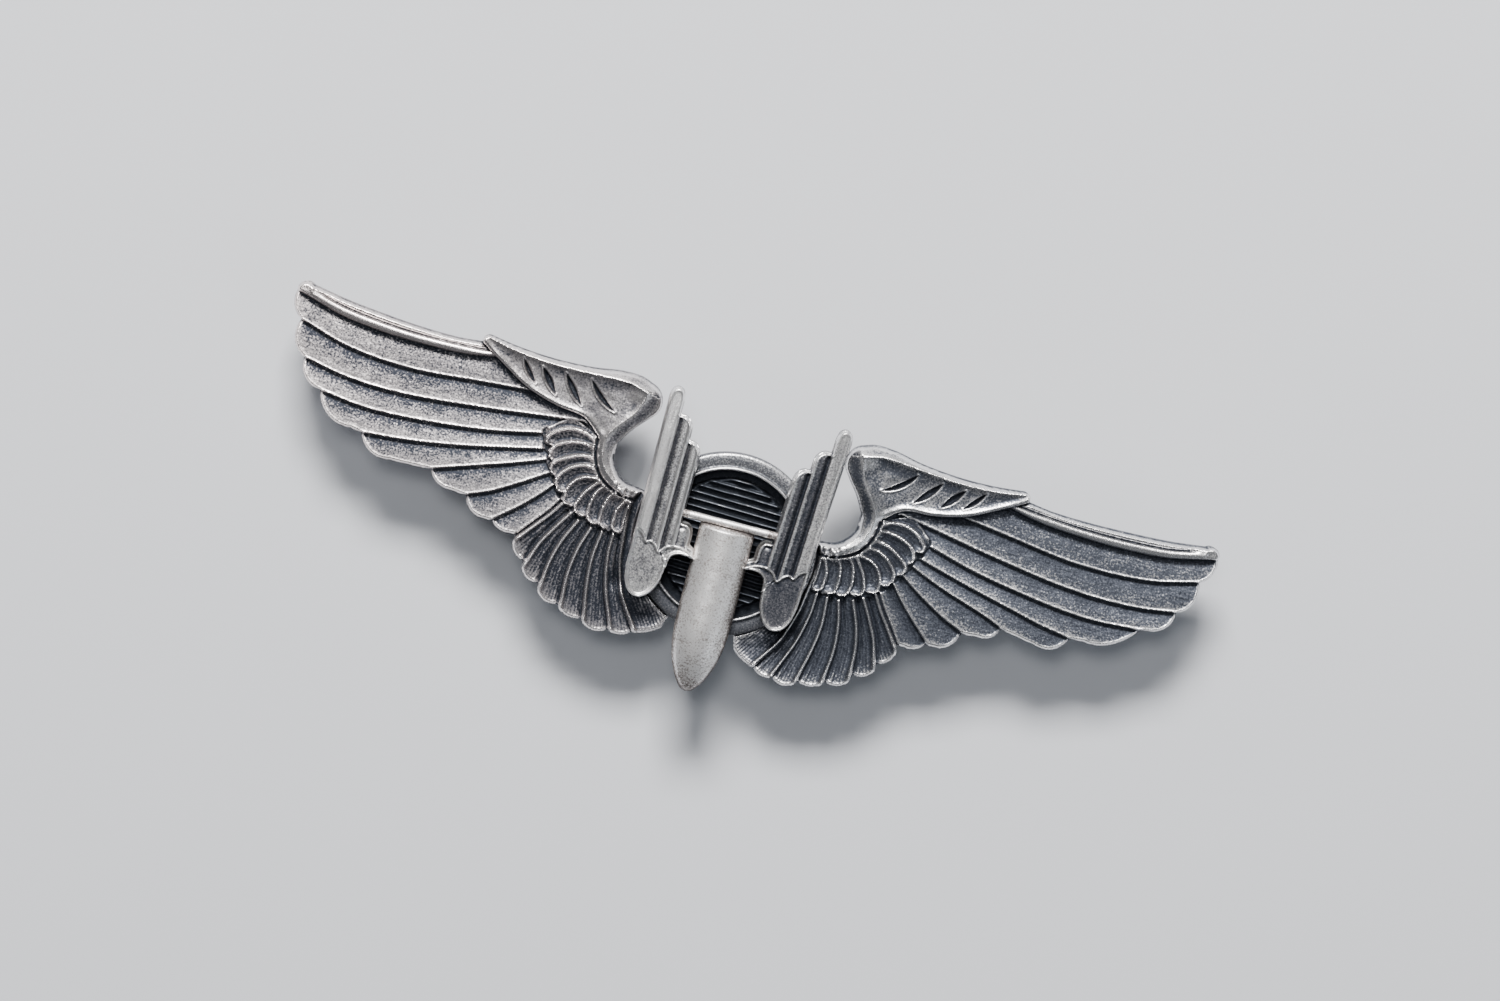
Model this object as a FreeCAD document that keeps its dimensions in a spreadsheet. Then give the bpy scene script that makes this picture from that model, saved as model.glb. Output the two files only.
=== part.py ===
"""Winged-bullet flight badge with a hinged pin and a turning safety catch.

Millimetres. X runs along the span, Y towards the top of the badge and Z out of its front.
The origin is the centre of the disc's flat back, which lies against the cloth.
"""
import FreeCAD, Part
import os
from math import exp, hypot

import Sketcher
from FreeCAD import Placement, Rotation, Vector

doc = FreeCAD.newDocument("wings_pin")

# ---------------------------------------------------------------- driving dimensions
SIZES = {
    # heights above the flat back
    "feather_top": 1.6,
    "rim_top": 2.0,
    "covert_top": 1.85,
    "covert_bulge": 0.3,
    "shoulder_top": 2.4,
    "neck_top": 2.1,
    "groove_depth": 0.5,
    "groove_width": 0.24,
    "slit_depth": 0.6,
    # ring and ribbed disc
    "ring_outer": 7.28,
    "ring_inner": 5.9,
    "ring_top": 1.7,
    "lip_width": 0.28,
    "lip_top": 1.9,
    "disc_seat": 0.02,
    "disc_base": 0.8,
    "rib_radius": 5.3,
    "rib_floor": 1.25,
    "rib_top": 1.55,
    "rib_pitch": 0.57,
    "rib_width": 0.26,
    # winged bullet, soldered on a little askew
    "emblem_base": 1.5,
    "emblem_turn": 1.9,
    "emblem_across": -0.16,
    "emblem_up": 0.0,
    "left_turn": 0.95,
    "left_across": -0.05,
    "left_up": -0.12,
    "right_turn": -0.9,
    "right_across": -0.26,
    "right_up": 0.27,
    "winglet_top": 3.3,
    "winglet_groove": 0.45,
    "bullet_half": 2.2,
    "bullet_top_y": 1.35,
    "bullet_shank_y": -5.6,
    "bullet_tip_y": -12.15,
    "bullet_crest": 3.9,
    "bullet_crown": 0.55,
    "bar_radius": 0.3,
    "bar_half": 3.95,
    "bar_y": 1.72,
    "bar_z": 2.75,
    # pin line behind the badge
    "pin_y": 1.0,
    "pin_z": -2.6,
    "hinge_x": -17.0,
    "catch_x": 17.0,
    "foot_sink": 0.1,
    "foot_thick": 0.5,
    "foot_length": 5.6,
    "foot_width": 4.4,
    # hinge
    "ear_gap": 2.0,
    "ear_thick": 0.55,
    "ear_radius": 1.35,
    "bracket_web": 0.45,
    "rivet_radius": 0.45,
    "rivet_head": 0.8,
    "rivet_head_thick": 0.35,
    "rivet_play": 0.04,
    "eye_radius": 1.15,
    "eye_play": 0.12,
    # needle
    "stem_neck_radius": 0.72,
    "stem_neck_start": 0.6,
    "stem_neck_end": 2.0,
    "needle_radius": 0.45,
    "shank_end_x": 13.6,
    "needle_neck": 0.36,
    "needle_end_x": 19.2,
    "needle_point": 1.9,
    "point_radius": 0.05,
    # catch
    "housing_outer": 2.05,
    "housing_inner": 1.42,
    "housing_length": 1.9,
    "mouth_width": 1.7,
    "rotor_radius": 1.36,
    "rotor_bore": 0.62,
    "rotor_slot": 1.1,
    "flange_radius": 1.75,
    "flange_thick": 0.5,
    "flange_gap": 0.08,
    "lug_reach": 2.5,
    "lug_width": 1.3,
}

sheet = doc.addObject("Spreadsheet::Sheet", "Sizes")
for row, (name, value) in enumerate(SIZES.items(), start=1):
    sheet.set(f"A{row}", name)
    sheet.set(f"B{row}", str(value))
    sheet.setAlias(f"B{row}", name)
doc.recompute()


def size(name):
    """A driving dimension, read back from the sheet."""
    return float(sheet.get(name))


def bind(obj, **links):
    """Tie properties of an object to expressions on the sheet, written with bare aliases."""
    for prop, formula in links.items():
        words = [f"Sizes.{w}" if w in SIZES else w for w in formula.split()]
        obj.setExpression(prop.replace("__", "."), " ".join(words))


# ---------------------------------------------------------------- small makers
def cylinder(name, radius, height, x="0", y="0", z="0", axis="Z"):
    """Cylinder from (x, y, z) along an axis, all of it bound to the sheet."""
    part = doc.addObject("Part::Cylinder", name)
    turn = {"Z": Rotation(), "X": Rotation(Vector(0, 1, 0), 90), "Y": Rotation(Vector(1, 0, 0), -90)}
    part.Placement = Placement(Vector(), turn[axis])
    bind(part, Radius=radius, Height=height)
    bind(part, Placement__Base__x=x, Placement__Base__y=y, Placement__Base__z=z)
    return part


def box(name, length, width, height, x, y, z):
    """Box whose low corner is at (x, y, z), all of it bound to the sheet."""
    part = doc.addObject("Part::Box", name)
    bind(part, Length=length, Width=width, Height=height)
    bind(part, Placement__Base__x=x, Placement__Base__y=y, Placement__Base__z=z)
    return part


def fuse(name, parts):
    """All the parts as one solid."""
    joined = doc.addObject("Part::MultiFuse", name)
    joined.Shapes = parts
    joined.Refine = True
    return joined


def cut(name, base, tool):
    """The base with the tool's shape taken away."""
    left = doc.addObject("Part::Cut", name)
    left.Base = base
    left.Tool = tool
    return left


def common(name, parts):
    """What all the parts share."""
    shared = doc.addObject("Part::MultiCommon", name)
    shared.Shapes = parts
    return shared


def plane_of(body, role):
    """One of a body's own origin planes."""
    return next(f for f in body.Origin.OriginFeatures if f.Role == role)


def sketch_on(body, name, edges, height="0", role="XY_Plane"):
    """Closed outlines on a plane of the body, lifted to a height from the sheet."""
    sketch = body.newObject("Sketcher::SketchObject", name)
    sketch.AttachmentSupport = [(plane_of(body, role), "")]
    sketch.MapMode = "FlatFace"
    bind(sketch, AttachmentOffset__Base__z=height)
    sketch.addGeometry(edges, False)
    return sketch


def pad(body, name, edges, length, height="0"):
    """Raise outlines from a height by a length."""
    feature = body.newObject("PartDesign::Pad", name)
    feature.Profile = sketch_on(body, f"{name}_outline", edges, height)
    bind(feature, Length=length)
    return feature


def pocket(body, name, edges, depth, height):
    """Sink outlines from a height by a depth, and check that something was cut."""
    doc.recompute()
    before = body.Shape.Volume
    feature = body.newObject("PartDesign::Pocket", name)
    feature.Profile = sketch_on(body, f"{name}_outline", edges, height)
    bind(feature, Length=depth)
    doc.recompute()
    if not body.Shape.Volume < before:
        raise RuntimeError(f"{name} cuts nothing")
    return feature


def line(start, end):
    return Part.LineSegment(Vector(*start, 0), Vector(*end, 0))


def arc(start, via, end):
    return Part.Arc(Vector(*start, 0), Vector(*via, 0), Vector(*end, 0))


def curve(points):
    """Smooth curve through a few points."""
    spline = Part.BSplineCurve()
    spline.interpolate([Vector(*p, 0) for p in points])
    return spline


# ---------------------------------------------------------------- wings
# Outline of a wing as seen on the left, with x counted away from the middle of the badge.
# Each feather's rounded end is an arc: where it leaves the feather above, its end, its heel.
FEATHER_ENDS = [
    [(38.0, 9.75), (37.95, 8.7), (37.15, 7.7)],
    [(37.1, 7.6), (37.2, 6.2), (36.1, 4.85)],
    [(36.05, 4.75), (35.75, 3.6), (34.2, 2.7)],
    [(34.1, 2.6), (33.3, 1.2), (31.0, 0.5)],
    [(30.1, 0.35), (29.4, -0.65), (27.4, -1.08)],
    [(24.05, -0.9), (23.3, -1.75), (22.2, -2.0)],
    [(20.8, -2.1), (20.2, -3.05), (19.3, -3.45)],
    [(18.3, -3.45), (17.4, -3.98), (16.6, -3.98)],
    [(16.1, -3.95), (16.0, -5.2), (15.1, -5.8)],
    [(15.0, -5.85), (14.7, -6.8), (13.5, -7.2)],
    [(13.4, -7.25), (13.0, -8.1), (11.5, -8.4)],
    [(11.4, -8.45), (10.5, -9.05), (9.4, -9.0)],
    [(9.3, -9.0), (8.2, -9.6), (7.1, -9.25)],
    [(7.0, -9.2), (6.1, -9.35), (5.2, -8.9)],
    [(5.1, -8.85), (4.0, -8.55), (3.0, -7.9)],
]
# Dark line along the upper side of each feather from the second on, from its root to its end.
FEATHER_LINES = [
    [(18.3, 7.25), (22.0, 6.85), (28.0, 6.25), (33.0, 6.55), (36.9, 7.55)],
    [(16.4, 5.65), (21.0, 4.95), (28.0, 4.15), (32.5, 4.2), (35.9, 4.75)],
    [(16.2, 4.3), (21.0, 3.2), (28.0, 2.35), (31.0, 2.3), (33.9, 2.6)],
    [(15.7, 3.15), (19.0, 2.3), (23.0, 1.35), (27.0, 0.65), (29.9, 0.35)],
    [(15.4, 2.35), (18.0, 1.3), (21.0, 0.2), (23.9, -0.85)],
    [(14.9, 1.4), (17.0, -0.05), (19.0, -1.3), (20.7, -2.05)],
    [(14.3, 0.6), (15.2, -0.5), (16.5, -1.85), (18.2, -3.35)],
    [(13.5, -0.4), (14.2, -1.5), (15.2, -2.8), (16.0, -3.85)],
    [(12.7, -1.0), (13.6, -2.5), (14.4, -4.0), (14.95, -5.75)],
    [(11.9, -1.3), (12.8, -3.4), (13.25, -5.3), (13.35, -7.15)],
    [(10.8, -1.6), (11.35, -3.5), (11.6, -5.8), (11.4, -8.35)],
    [(9.9, -1.7), (10.1, -4.0), (9.9, -6.2), (9.35, -8.9)],
    [(9.0, -1.7), (8.95, -3.4), (8.4, -6.0), (7.1, -9.1)],
    [(8.1, -2.0), (7.85, -3.8), (7.0, -6.2), (5.2, -8.75)],
]
RIM_EDGE = [(22.9, 9.95), (25.0, 9.72), (28.0, 9.7), (31.0, 9.85), (34.0, 10.1), (36.8, 10.5)]
RIM_END = [(36.8, 10.5), (37.85, 10.4), (38.0, 9.75)]
RIM_FOOT = [(38.0, 9.75), (36.5, 9.35), (34.0, 8.75), (31.0, 8.45), (28.0, 8.4), (24.0, 8.6), (20.8, 9.2)]
SHOULDER_TOP = [(8.9, 10.5), (10.0, 10.85), (11.6, 10.85), (14.0, 10.45), (17.0, 10.25), (20.0, 10.35),
                (22.4, 10.65)]
SHOULDER_BULGE = [(8.4, 8.0), (7.9, 9.2), (8.9, 10.5)]
SHOULDER_CORNER = [(22.4, 10.65), (22.85, 10.4), (22.9, 9.95)]
SHOULDER_FOOT = [(22.9, 9.95), (21.3, 9.0), (18.4, 7.45), (15.8, 6.75), (13.6, 6.5), (12.1, 5.4)]
NECK_UPPER = [(8.4, 8.0), (9.6, 6.6), (10.4, 5.3)]
NECK_LOWER = [(10.4, 5.3), (10.35, 3.9), (9.3, 2.6), (7.4, 2.2)]
NECK_OUTER = [(12.1, 5.4), (11.9, 3.9), (11.1, 2.4), (9.6, 1.5), (7.9, 1.2)]
COVERT_TIPS = [(16.1, 5.0), (16.2, 4.0), (15.45, 2.9), (14.95, 1.7), (14.2, 0.6), (13.3, -0.4), (12.1, -1.0),
               (10.9, -1.45), (9.9, -1.55), (8.9, -1.55), (8.1, -1.5)]
COVERT_HUB = (11.0, 4.2)
COVERT_BACK = (14.4, 6.2)
SLITS = [[(19.4, 9.7), (19.0, 8.85), (17.95, 8.0), (18.6, 9.0)],
         [(17.75, 9.45), (17.3, 8.5), (16.2, 7.6), (16.75, 8.7)],
         [(15.85, 9.5), (15.3, 8.35), (14.0, 7.35), (14.8, 8.6)],
         [(13.8, 9.6), (13.1, 8.5), (11.3, 7.6), (12.4, 8.5)]]


# How the right wing differs: each row moves the points near (x, y) by (along, up), fading out over
# the two reaches.
RIGHT_SHIFTS = [
    # x, y, reach_x, reach_y, along, up
    (29.5, -0.2, 5.0, 2.4, -1.2, 0.0),
    (33.0, 1.6, 2.5, 1.6, -0.6, 0.0),
    (22.5, -1.4, 6.0, 2.6, 0.0, 0.55),
]
RIGHT_INSET = 0.7            # the right wing's middle lies this much nearer the badge's centre
RIGHT_INSET_ROOT = (3.0, 6.0)  # where the inset starts, and over what length it grows
RIGHT_INSET_TIP = (34.0, 7.0)  # where it ends, and over what length it dies away


def placed(side, point):
    """A wing point on its side of the badge; the right wing is not an exact mirror of the left."""
    x, y = point
    if side < 0:
        return -x, y
    from_root = (x - RIGHT_INSET_ROOT[0]) / RIGHT_INSET_ROOT[1]
    to_tip = (RIGHT_INSET_TIP[0] - x) / RIGHT_INSET_TIP[1]
    inset = RIGHT_INSET * min(1.0, max(0.0, to_tip)) * min(1.0, max(0.0, from_root))
    moved_x, moved_y = x - inset, y
    for near_x, near_y, reach_x, reach_y, along, up in RIGHT_SHIFTS:
        share = exp(-(((x - near_x) / reach_x) ** 2) - ((y - near_y) / reach_y) ** 2)
        moved_x += along * share
        moved_y += up * share
    return moved_x, moved_y


def on_side(side, points):
    return [placed(side, p) for p in points]


def ring_touch(y):
    """Point of the wing's root line on the ring's rim at a height y."""
    reach = size("ring_outer") - size("disc_seat")
    return (reach**2 - y**2) ** 0.5, y


def root_arc(side, top, bottom):
    """The wing's edge against the ring, from a height to a lower one."""
    ends = [ring_touch(y) for y in (top, (top + bottom) / 2, bottom)]
    return arc(*[(side * x, y) for x, y in ends])


def wing_outline(side):
    """The whole wing: shoulder, rim, feather ends, ring side and the bay inside the neck."""
    top_root, low_root = 2.0, -6.75
    edges = [arc(*on_side(side, SHOULDER_BULGE)), curve(on_side(side, SHOULDER_TOP))]
    edges += [arc(*on_side(side, SHOULDER_CORNER)), curve(on_side(side, RIM_EDGE))]
    edges.append(arc(*on_side(side, RIM_END)))
    for here, after in zip(FEATHER_ENDS, FEATHER_ENDS[1:] + [None]):
        edges.append(arc(*on_side(side, here)))
        if after:
            edges.append(line(placed(side, here[2]), placed(side, after[0])))
    last = placed(side, FEATHER_ENDS[-1][2])
    x_low, y_low = ring_touch(low_root)
    edges.append(line(last, (side * x_low, y_low)))
    edges.append(root_arc(side, low_root, top_root))
    x_top, y_top = ring_touch(top_root)
    edges.append(line((side * x_top, y_top), placed(side, NECK_LOWER[-1])))
    edges.append(curve(on_side(side, NECK_LOWER[::-1])))
    edges.append(curve(on_side(side, NECK_UPPER[::-1])))
    return edges


def rim_outline(side):
    """Raised leading edge, its heel tucked under the shoulder."""
    foot_edge = curve(on_side(side, RIM_FOOT))
    heel = line(placed(side, RIM_FOOT[-1]), placed(side, RIM_EDGE[0]))
    return [curve(on_side(side, RIM_EDGE)), arc(*on_side(side, RIM_END)), foot_edge, heel]


def shoulder_outline(side):
    """Shield-shaped shoulder down to the top of the coverts."""
    waist = line(placed(side, SHOULDER_FOOT[-1]), placed(side, NECK_LOWER[0]))
    edges = [arc(*on_side(side, SHOULDER_BULGE)), curve(on_side(side, SHOULDER_TOP))]
    edges += [arc(*on_side(side, SHOULDER_CORNER)), curve(on_side(side, SHOULDER_FOOT)), waist]
    return edges + [curve(on_side(side, NECK_UPPER[::-1]))]


def neck_outline(side):
    """Neck that curls round the bay to the ring's side."""
    waist = line(placed(side, NECK_LOWER[0]), placed(side, SHOULDER_FOOT[-1]))
    edges = [waist, curve(on_side(side, NECK_OUTER))]
    edges.append(line(placed(side, NECK_OUTER[-1]), placed(side, NECK_LOWER[-1])))
    return edges + [curve(on_side(side, NECK_LOWER[::-1]))]


def covert_outline(side):
    """Fan of small covert feathers: a scalloped edge round the neck's outer line."""
    edges = []
    for here, after in zip(COVERT_TIPS, COVERT_TIPS[1:]):
        middle = ((here[0] + after[0]) / 2, (here[1] + after[1]) / 2)
        outward = Vector(middle[0] - COVERT_HUB[0], middle[1] - COVERT_HUB[1], 0)
        away = outward.normalize() * size("covert_bulge")
        bulge = (middle[0] + away.x, middle[1] + away.y)
        edges.append(arc(*on_side(side, [here, bulge, after])))
    edges.append(line(placed(side, COVERT_TIPS[-1]), placed(side, NECK_OUTER[-1])))
    edges.append(curve(on_side(side, NECK_OUTER[::-1])))
    first = [NECK_OUTER[0], COVERT_BACK, COVERT_TIPS[0]]
    return edges + [curve(on_side(side, first))]


def groove_outline(side, points):
    """Narrow closed strip along a feather line, pointed at its root."""
    half = size("groove_width") / 2
    path = on_side(side, points)
    beside = []
    for i, (x, y) in enumerate(path[1:], start=1):
        ahead = path[min(i + 1, len(path) - 1)]
        dx, dy = ahead[0] - path[i - 1][0], ahead[1] - path[i - 1][1]
        away = half / hypot(dx, dy)
        beside.append((x - dy * away, y + dx * away, x + dy * away, y - dx * away))
    over = [path[0]] + [(b[0], b[1]) for b in beside]
    under = [path[0]] + [(b[2], b[3]) for b in beside]
    return [curve(over), line(over[-1], under[-1]), curve(under[::-1])]


def slit_outline(side, slit):
    """Leaf-shaped cut between two bowed edges."""
    top, outer, bottom, inner = on_side(side, slit)
    return [arc(top, outer, bottom), arc(bottom, inner, top)]


def wing(name, side):
    """One wing: feather plate, rim, coverts, neck and slit shoulder struck in one piece."""
    body = doc.addObject("PartDesign::Body", name)
    pad(body, f"{name}_plate", wing_outline(side), "feather_top")
    pad(body, f"{name}_rim", rim_outline(side), "rim_top")
    pad(body, f"{name}_coverts", covert_outline(side), "covert_top")
    pad(body, f"{name}_neck", neck_outline(side), "neck_top")
    pad(body, f"{name}_shoulder", shoulder_outline(side), "shoulder_top")
    grooves = [edge for points in FEATHER_LINES for edge in groove_outline(side, points)]
    pocket(body, f"{name}_grooves", grooves, "groove_depth", "feather_top")
    slits = [edge for slit in SLITS for edge in slit_outline(side, slit)]
    pocket(body, f"{name}_slits", slits, "slit_depth", "shoulder_top")
    return body


# ---------------------------------------------------------------- ring and disc
def centre_ring():
    """Flat band with a thin raised lip round its inside."""
    band = cylinder("ring_band", "ring_outer", "ring_top")
    lip = cylinder("ring_lip", "ring_inner + lip_width", "lip_top")
    hole = cylinder("ring_hole", "ring_inner", "lip_top")
    return cut("centre_ring", fuse("ring_blank", [band, lip]), hole)


def ribbed_disc():
    """Disc pressed into the ring, with straight ribs across a raised field."""
    base = cylinder("disc_plate", "ring_inner + disc_seat", "disc_base")
    field = cylinder("disc_field", "rib_radius", "rib_floor")
    round_field = cylinder("rib_bounds", "rib_radius", "rib_top")
    reach = int(size("rib_radius") / size("rib_pitch"))
    ribs = []
    for i in range(-reach, reach + 1):
        across = f"{i} * rib_pitch - rib_width / 2"
        ribs.append(box(f"rib_{i + reach}", "2 * rib_radius", "rib_width", "rib_top",
                        "-1 * rib_radius", across, "0"))
    bars = common("rib_field", [fuse("rib_bars", ribs), round_field])
    return fuse("ribbed_disc", [base, field, bars])


# ---------------------------------------------------------------- winged bullet
def turned(part, whose="emblem"):
    """Set a piece askew by its own small turn and shift."""
    bind(part, Placement__Rotation__Angle=f"{whose}_turn")
    bind(part, Placement__Base__x=f"{whose}_across", Placement__Base__y=f"{whose}_up")
    return part


# Winglet outline on the right: three stepped feathers, the short fourth and the arm to the bullet.
WINGLET_BAR = [(7.2, 0.0), (7.36, 9.8), (7.34, 10.6), (7.16, 11.08), (6.74, 11.27), (6.32, 11.06),
               (6.14, 10.5), (6.1, 9.2)]
WINGLET_STEPS = [
    [(6.1, 9.2), (5.5, 9.15), (5.0, 8.6), (4.88, 7.4)],
    [(4.88, 7.4), (4.3, 7.3), (3.85, 6.7), (3.75, 5.6)],
]
SHORT_FEATHER = [(3.75, 1.1), (3.1, 1.0), (2.75, 0.5), (2.7, -0.6)]
WINGLET_ARM = [(2.1, -0.95), (2.1, -1.6), (3.2, -1.5), (3.85, -1.85), (4.1, -3.0)]
WINGLET_LOBE = [(4.1, -3.0), (4.3, -4.2), (4.85, -5.15), (5.65, -5.62), (6.45, -5.35), (6.95, -4.5),
                (7.15, -3.4)]
# Top and foot of each channel between the feathers.
WINGLET_CHANNELS = [((6.1, 9.0), (6.05, -1.2)), ((4.88, 7.2), (4.95, -1.5))]


def winglet_outline(side):
    """Closed outline of a winglet."""
    bar = [(side * x, y) for x, y in WINGLET_BAR]
    steps = [[(side * x, y) for x, y in run] for run in WINGLET_STEPS]
    short = [(side * x, y) for x, y in SHORT_FEATHER]
    arm = [(side * x, y) for x, y in WINGLET_ARM]
    lobe = [(side * x, y) for x, y in WINGLET_LOBE]
    edges = [line(bar[0], bar[1]), curve(bar[1:])]
    for run in steps:
        edges += [line(run[0], run[1]), curve(run[1:])]
    edges += [line(steps[-1][-1], short[0]), curve(short[:3]), line(short[2], short[3])]
    edges += [line(short[3], arm[0]), line(arm[0], arm[1]), curve(arm[1:])]
    edges += [curve(lobe), line(lobe[-1], bar[0])]
    return edges


def winglet_channels(side):
    """Two channels between the long feathers."""
    half = size("groove_width") / 2
    edges = []
    for top, foot in WINGLET_CHANNELS:
        corners = [(top[0] - half, top[1]), (top[0] + half, top[1]),
                   (foot[0] + half, foot[1]), (foot[0] - half, foot[1])]
        corners = [(side * x, y) for x, y in corners]
        edges += [line(a, b) for a, b in zip(corners, corners[1:] + corners[:1])]
    return edges


def winglet(name, side):
    """Small upright wing beside the bullet, leaning a little on its own."""
    body = doc.addObject("PartDesign::Body", name)
    pad(body, f"{name}_plate", winglet_outline(side), "winglet_top - emblem_base", "emblem_base")
    pocket(body, f"{name}_channels", winglet_channels(side), "winglet_groove", "winglet_top")
    return turned(body, "left" if side < 0 else "right")


# The bullet's nose from the shank to its blunt end: share of its half width, share of its length.
NOSE = [(1.0, 0.0), (0.982, 0.244), (0.909, 0.458), (0.773, 0.641), (0.577, 0.794), (0.391, 0.901),
        (0.205, 0.974), (0.0, 1.0)]


def bullet_nose(side, widen):
    """One side of the nose, widened by a margin."""
    half, shank = size("bullet_half") + widen, size("bullet_shank_y")
    reach = shank - size("bullet_tip_y") + widen
    return [(side * half * across, shank - reach * down) for across, down in NOSE]


def bullet():
    """Half-round bullet: an ogive prism with a low crown turned about the bullet's axis."""
    top = size("bullet_top_y")
    right, left = bullet_nose(1, 0.0), bullet_nose(-1, 0.0)
    prism = doc.addObject("PartDesign::Body", "bullet_prism")
    outline = [line((left[0][0], top), (right[0][0], top)), line((right[0][0], top), right[0])]
    outline += [curve(right), curve(left[::-1]), line(left[0], (left[0][0], top))]
    pad(prism, "bullet_block", outline, "bullet_crest", "emblem_base")

    crown = doc.addObject("PartDesign::Body", "bullet_crown_body")
    profile = bullet_nose(1, size("bullet_crown"))
    edges = [line((0.0, top), (profile[0][0], top)), line((profile[0][0], top), profile[0])]
    edges += [curve(profile), line(profile[-1], (0.0, top))]
    turn = crown.newObject("PartDesign::Revolution", "bullet_turning")
    turn.Profile = sketch_on(crown, "bullet_profile", edges, "bullet_crest - bullet_half - bullet_crown")
    turn.ReferenceAxis = (turn.Profile[0], ["V_Axis"])
    turn.Angle = 360
    shaped = common("bullet", [prism, crown])
    return turned(shaped)


def cross_bar():
    """Round bar over the bullet's base that ties the winglets together."""
    body = doc.addObject("PartDesign::Body", "cross_bar")
    centre = Vector(size("bar_y"), size("bar_z"), 0)
    edges = [Part.Circle(centre, Vector(0, 0, 1), size("bar_radius"))]
    section = sketch_on(body, "bar_section", edges, role="YZ_Plane")
    driven = [("Radius", "bar_radius"), ("DistanceX", "bar_y"), ("DistanceY", "bar_z")]
    for number, (kind, name) in enumerate(driven):
        ends = (0,) if kind == "Radius" else (-1, 1, 0, 3)
        section.addConstraint(Sketcher.Constraint(kind, *ends, size(name)))
        section.setExpression(f"Constraints[{number}]", f"Sizes.{name}")
    rod = body.newObject("PartDesign::Pad", "bar_rod")
    rod.Profile = section
    rod.Midplane = True
    bind(rod, Length="2 * bar_half")
    return turned(body)


# ---------------------------------------------------------------- hinge
def foot(name, x):
    """Oval-ended foot plate soldered to the back of a wing."""
    plate = box(f"{name}_blank", "foot_length", "foot_width", "foot_thick + foot_sink",
                f"{x} - foot_length / 2", "pin_y - foot_width / 2", "-1 * foot_thick")
    disc = cylinder(f"{name}_round", "foot_length / 2", "foot_thick + foot_sink", x, "pin_y", "-1 * foot_thick")
    return common(name, [plate, disc])


def hinge_bracket():
    """Channel with two rounded ears that hold the rivet."""
    reach = "ear_gap + 2 * ear_thick"
    low = "pin_y - ear_gap / 2 - ear_thick"
    drop = "-1 * foot_thick - pin_z"
    web = box("bracket_web_plate", "2 * ear_radius", reach, "bracket_web",
              "hinge_x - ear_radius", low, "-1 * foot_thick - bracket_web")
    block = box("bracket_block", "2 * ear_radius", reach, drop, "hinge_x - ear_radius", low, "pin_z")
    nose = cylinder("bracket_nose", "ear_radius", reach, "hinge_x", low, "pin_z", "Y")
    gap = box("bracket_gap", "2 * ear_radius", "ear_gap", "2 * ear_radius - pin_z",
              "hinge_x - ear_radius", "pin_y - ear_gap / 2", "2 * pin_z")
    ears = cut("bracket_ears", fuse("bracket_blank", [block, nose]), gap)
    hole = cylinder("bracket_hole", "rivet_radius", reach, "hinge_x", low, "pin_z", "Y")
    return cut("hinge_bracket", fuse("bracket_shape", [ears, web]), hole)


def hinge_rivet():
    """Rivet through the ears, with a low head at each end."""
    low = "pin_y - ear_gap / 2 - ear_thick"
    high = "pin_y + ear_gap / 2 + ear_thick"
    shank = cylinder("rivet_shank", "rivet_radius", "ear_gap + 2 * ear_thick", "hinge_x", low, "pin_z", "Y")
    heads = [cylinder("rivet_head_low", "rivet_head", "rivet_head_thick",
                      "hinge_x", f"{low} - rivet_head_thick", "pin_z", "Y"),
             cylinder("rivet_head_high", "rivet_head", "rivet_head_thick", "hinge_x", high, "pin_z", "Y")]
    return fuse("hinge_rivet", [shank] + heads)


def cone(name, near_radius, far_radius, near_x, length):
    """Cone along the pin line, from near_x outwards."""
    part = doc.addObject("Part::Cone", name)
    part.Placement = Placement(Vector(), Rotation(Vector(0, 1, 0), 90))
    bind(part, Radius1=near_radius, Radius2=far_radius, Height=length)
    bind(part, Placement__Base__x=near_x, Placement__Base__y="pin_y", Placement__Base__z="pin_z")
    return part


def pin_stem():
    """Flattened eye on the rivet and the needle that grows from it, ground to a point."""
    eye = cylinder("stem_eye", "eye_radius", "ear_gap - 2 * eye_play",
                   "hinge_x", "pin_y - ear_gap / 2 + eye_play", "pin_z", "Y")
    neck = cone("stem_neck", "stem_neck_radius", "needle_radius",
                "hinge_x + stem_neck_start", "stem_neck_end - stem_neck_start")
    shank = cylinder("stem_shank", "needle_radius", "shank_end_x - hinge_x - stem_neck_end",
                     "hinge_x + stem_neck_end", "pin_y", "pin_z", "X")
    taper = cone("stem_taper", "needle_radius", "needle_neck", "shank_end_x", "needle_end_x - shank_end_x")
    point = cone("stem_point", "needle_neck", "point_radius", "needle_end_x", "needle_point")
    hole = cylinder("stem_hole", "rivet_radius + rivet_play", "ear_gap",
                    "hinge_x", "pin_y - ear_gap / 2", "pin_z", "Y")
    return cut("pin_stem", fuse("stem_blank", [eye, neck, shank, taper, point]), hole)


# ---------------------------------------------------------------- catch
def catch_housing():
    """C-shaped housing on a short post, its mouth towards the cloth."""
    low = "catch_x - housing_length / 2"
    barrel = cylinder("housing_barrel", "housing_outer", "housing_length", low, "pin_y", "pin_z", "X")
    post = box("housing_post", "housing_length", "2 * rotor_radius", "-1 * foot_thick - pin_z",
               low, "pin_y - rotor_radius", "pin_z")
    bore = cylinder("housing_bore", "housing_inner", "housing_length", low, "pin_y", "pin_z", "X")
    mouth = box("housing_mouth", "housing_length", "mouth_width", "2 * housing_outer",
                low, "pin_y - mouth_width / 2", "pin_z - 2 * housing_outer")
    return cut("catch_housing", fuse("housing_blank", [barrel, post]), fuse("housing_opening", [bore, mouth]))


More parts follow.
